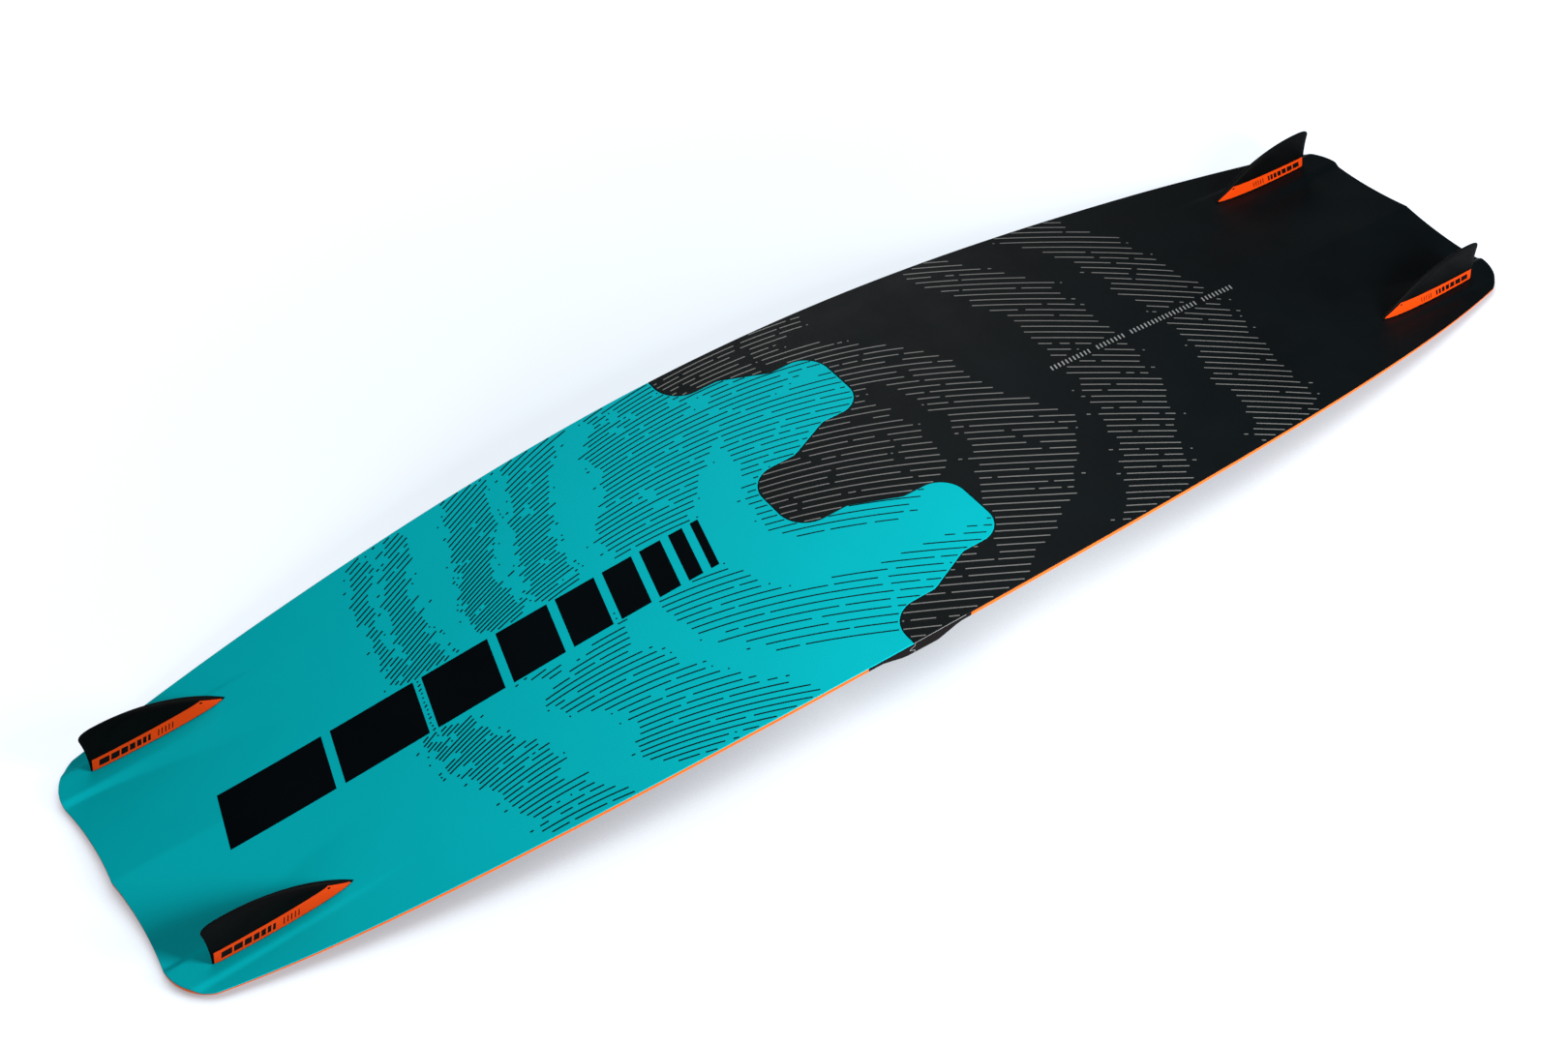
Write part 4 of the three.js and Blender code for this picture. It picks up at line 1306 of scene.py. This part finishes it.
screw, washer, insert = make_screw("screw"), make_washer("washer"), make_insert("insert")
for half, end in ENDS.items():
    body = f"{half}_half"
    for side, at in zip(("far", "near"), fin_frames(end)):
        place = f"{half}_{side}"
        dress(make_fin(f"{place}_blade", at), body, "fin", "fin", f"{place}_fin")
        band, marks = band_parts(f"{place}_band", at)
        dress(band, body, "band", "rail")
        dress(marks, body, "band_ink", "fin")
        for k, x in enumerate(SCREW_STATIONS, 1):
            for part, kind in ((screw, "screw"), (washer, "washer")):
                twin = copy_of(part, f"{place}_{kind}_{k}", at @ Matrix.Translation((x, 0, 0)))
                dress(twin, body, "steel", "steel", f"{place}_fin_{kind}_{k}")
    *binding_frames, handle_frame = insert_frames(end)
    places = [(f"{half}_binding_insert_{k}", at) for k, at in enumerate(binding_frames, 1)]
    for node, at in places + [(f"{half}_handle_insert", handle_frame)]:
        dress(copy_of(insert, f"{node}_turned", at), body, "brass", "brass", node)
for obj in (screw, washer, insert):
    bpy.data.objects.remove(obj)

bars, dashes = speed_bars(), hatch_dashes()
tick_block = np.array([(228.0, -7.0), (462.0, -4.0), (462.0, 8.0), (228.0, 5.0)])
teal_dashes = cut_dashes(dashes, -1, [move_loop(bar, -2.2) for bar in bars])
black_dashes = cut_dashes(dashes, 1, [tick_block])
for obj, half, ink in (
        (ribbons("teal_hatch", teal_dashes, 0.68), "teal", "teal_ink"),
        (ribbons("black_hatch", black_dashes, 0.56), "black", "grey_ink"),
        (ink_plates("teal_bars", bars), "teal", "bar_ink"),
        (ink_plates("black_ticks", small_marks()), "black", "pale_ink_and_edge_highlight"),
        # the pale line along the black base's edge is a painted highlight
        (edge_highlight_lines("black_edge_highlight"), "black", "pale_ink_and_edge_highlight")):
    dress(obj, f"{half}_half", ink, "black_base")

# ---- Floor, camera and light ----

def make_floor():
    """Pale floor that glows a little, so that it stays white. Its glow is painted lower close to
    the board's middle and where the board is close above it, a painted shadow under the board.
    """
    size = 24.0
    mesh = bpy.data.meshes.new("floor")
    mesh.from_pydata([(-size, -size, 0), (size, -size, 0), (size, size, 0), (-size, size, 0)], [],
                     [(0, 1, 2, 3)])
    made = Finish("floor_glow_painted_shadow", Roughness=0.9, Specular_IOR_Level=0.0,
                  Emission_Color=(0.86, 0.93, 1.0, 1))
    made.colours(made.clouds(3, 2), [(0.3, (0.27, 0.28, 0.30)), (0.7, (0.29, 0.30, 0.32))])
    reach = made.node("ShaderNodeVectorMath", operation="LENGTH")
    made.link(made.place, reach.inputs[0])
    # painted shade: the floor's glow is lower close to the middle, where the board lies
    glow_painted_lower_near_board = made.spread(reach.outputs["Value"], 0.35, 1.1, 0.82, 1.14)
    # painted shadow: the glow is dimmed where the board is close above the floor
    painted_shadow_occlusion = made.node("ShaderNodeAmbientOcclusion", samples=8, Distance=0.055)
    under = made.spread(painted_shadow_occlusion.outputs["AO"], 0.45, 0.86, 0.38, 1.0)
    made.link(made.combine(glow_painted_lower_near_board, under), made.shader.inputs["Emission Strength"])
    mesh.materials.append(made.material)
    add_object("floor", mesh)


def make_camera():
    """Camera at the place that was fitted to the photograph."""
    azimuth, elevation, roll = math.radians(-32.59), math.radians(44.74), math.radians(-3.26)
    target, distance = Vector((-0.07717, -0.02368, LIFT / 1000)), 1.9555
    back = Vector((math.sin(azimuth) * math.cos(elevation),
                   -math.cos(azimuth) * math.cos(elevation), math.sin(elevation)))
    level = Vector((0, 0, 1)).cross(back).normalized()
    rise = back.cross(level)
    right = math.cos(roll) * level + math.sin(roll) * rise
    up = -math.sin(roll) * level + math.cos(roll) * rise
    data = bpy.data.cameras.new("view")
    data.lens, data.sensor_width, data.sensor_fit = 53.34, 36, "HORIZONTAL"
    data.clip_start, data.clip_end = 0.05, 60
    camera = add_object("view", data)
    camera.matrix_world = Matrix.Translation(target + back * distance) @ Matrix(
        (right, up, back)).transposed().to_4x4()
    bpy.context.scene.camera = camera


def soft_light(name, spot, size, power):
    """Square area light turned to the board."""
    data = bpy.data.lights.new(name, "AREA")
    data.shape, data.size, data.energy = "SQUARE", size, power
    light = add_object(name, data)
    light.location = spot
    light.rotation_mode = "QUATERNION"
    light.rotation_quaternion = Vector(spot).to_track_quat("Z", "Y")


make_floor()
make_camera()
soft_light("key", (0.45, -1.25, 0.72), 0.55, 31)
soft_light("top", (0.3, 0.4, 2.4), 2.0, 21)
soft_light("back", (1.45, 2.25, 1.45), 1.1, 9)
world = bpy.data.worlds.new("studio")
world.use_nodes = True
sky = world.node_tree.nodes["Background"].inputs
sky["Color"].default_value, sky["Strength"].default_value = (0.9, 0.95, 1.0, 1), 0.06
bpy.context.scene.world = world
bpy.context.scene.view_settings.view_transform = "Standard"
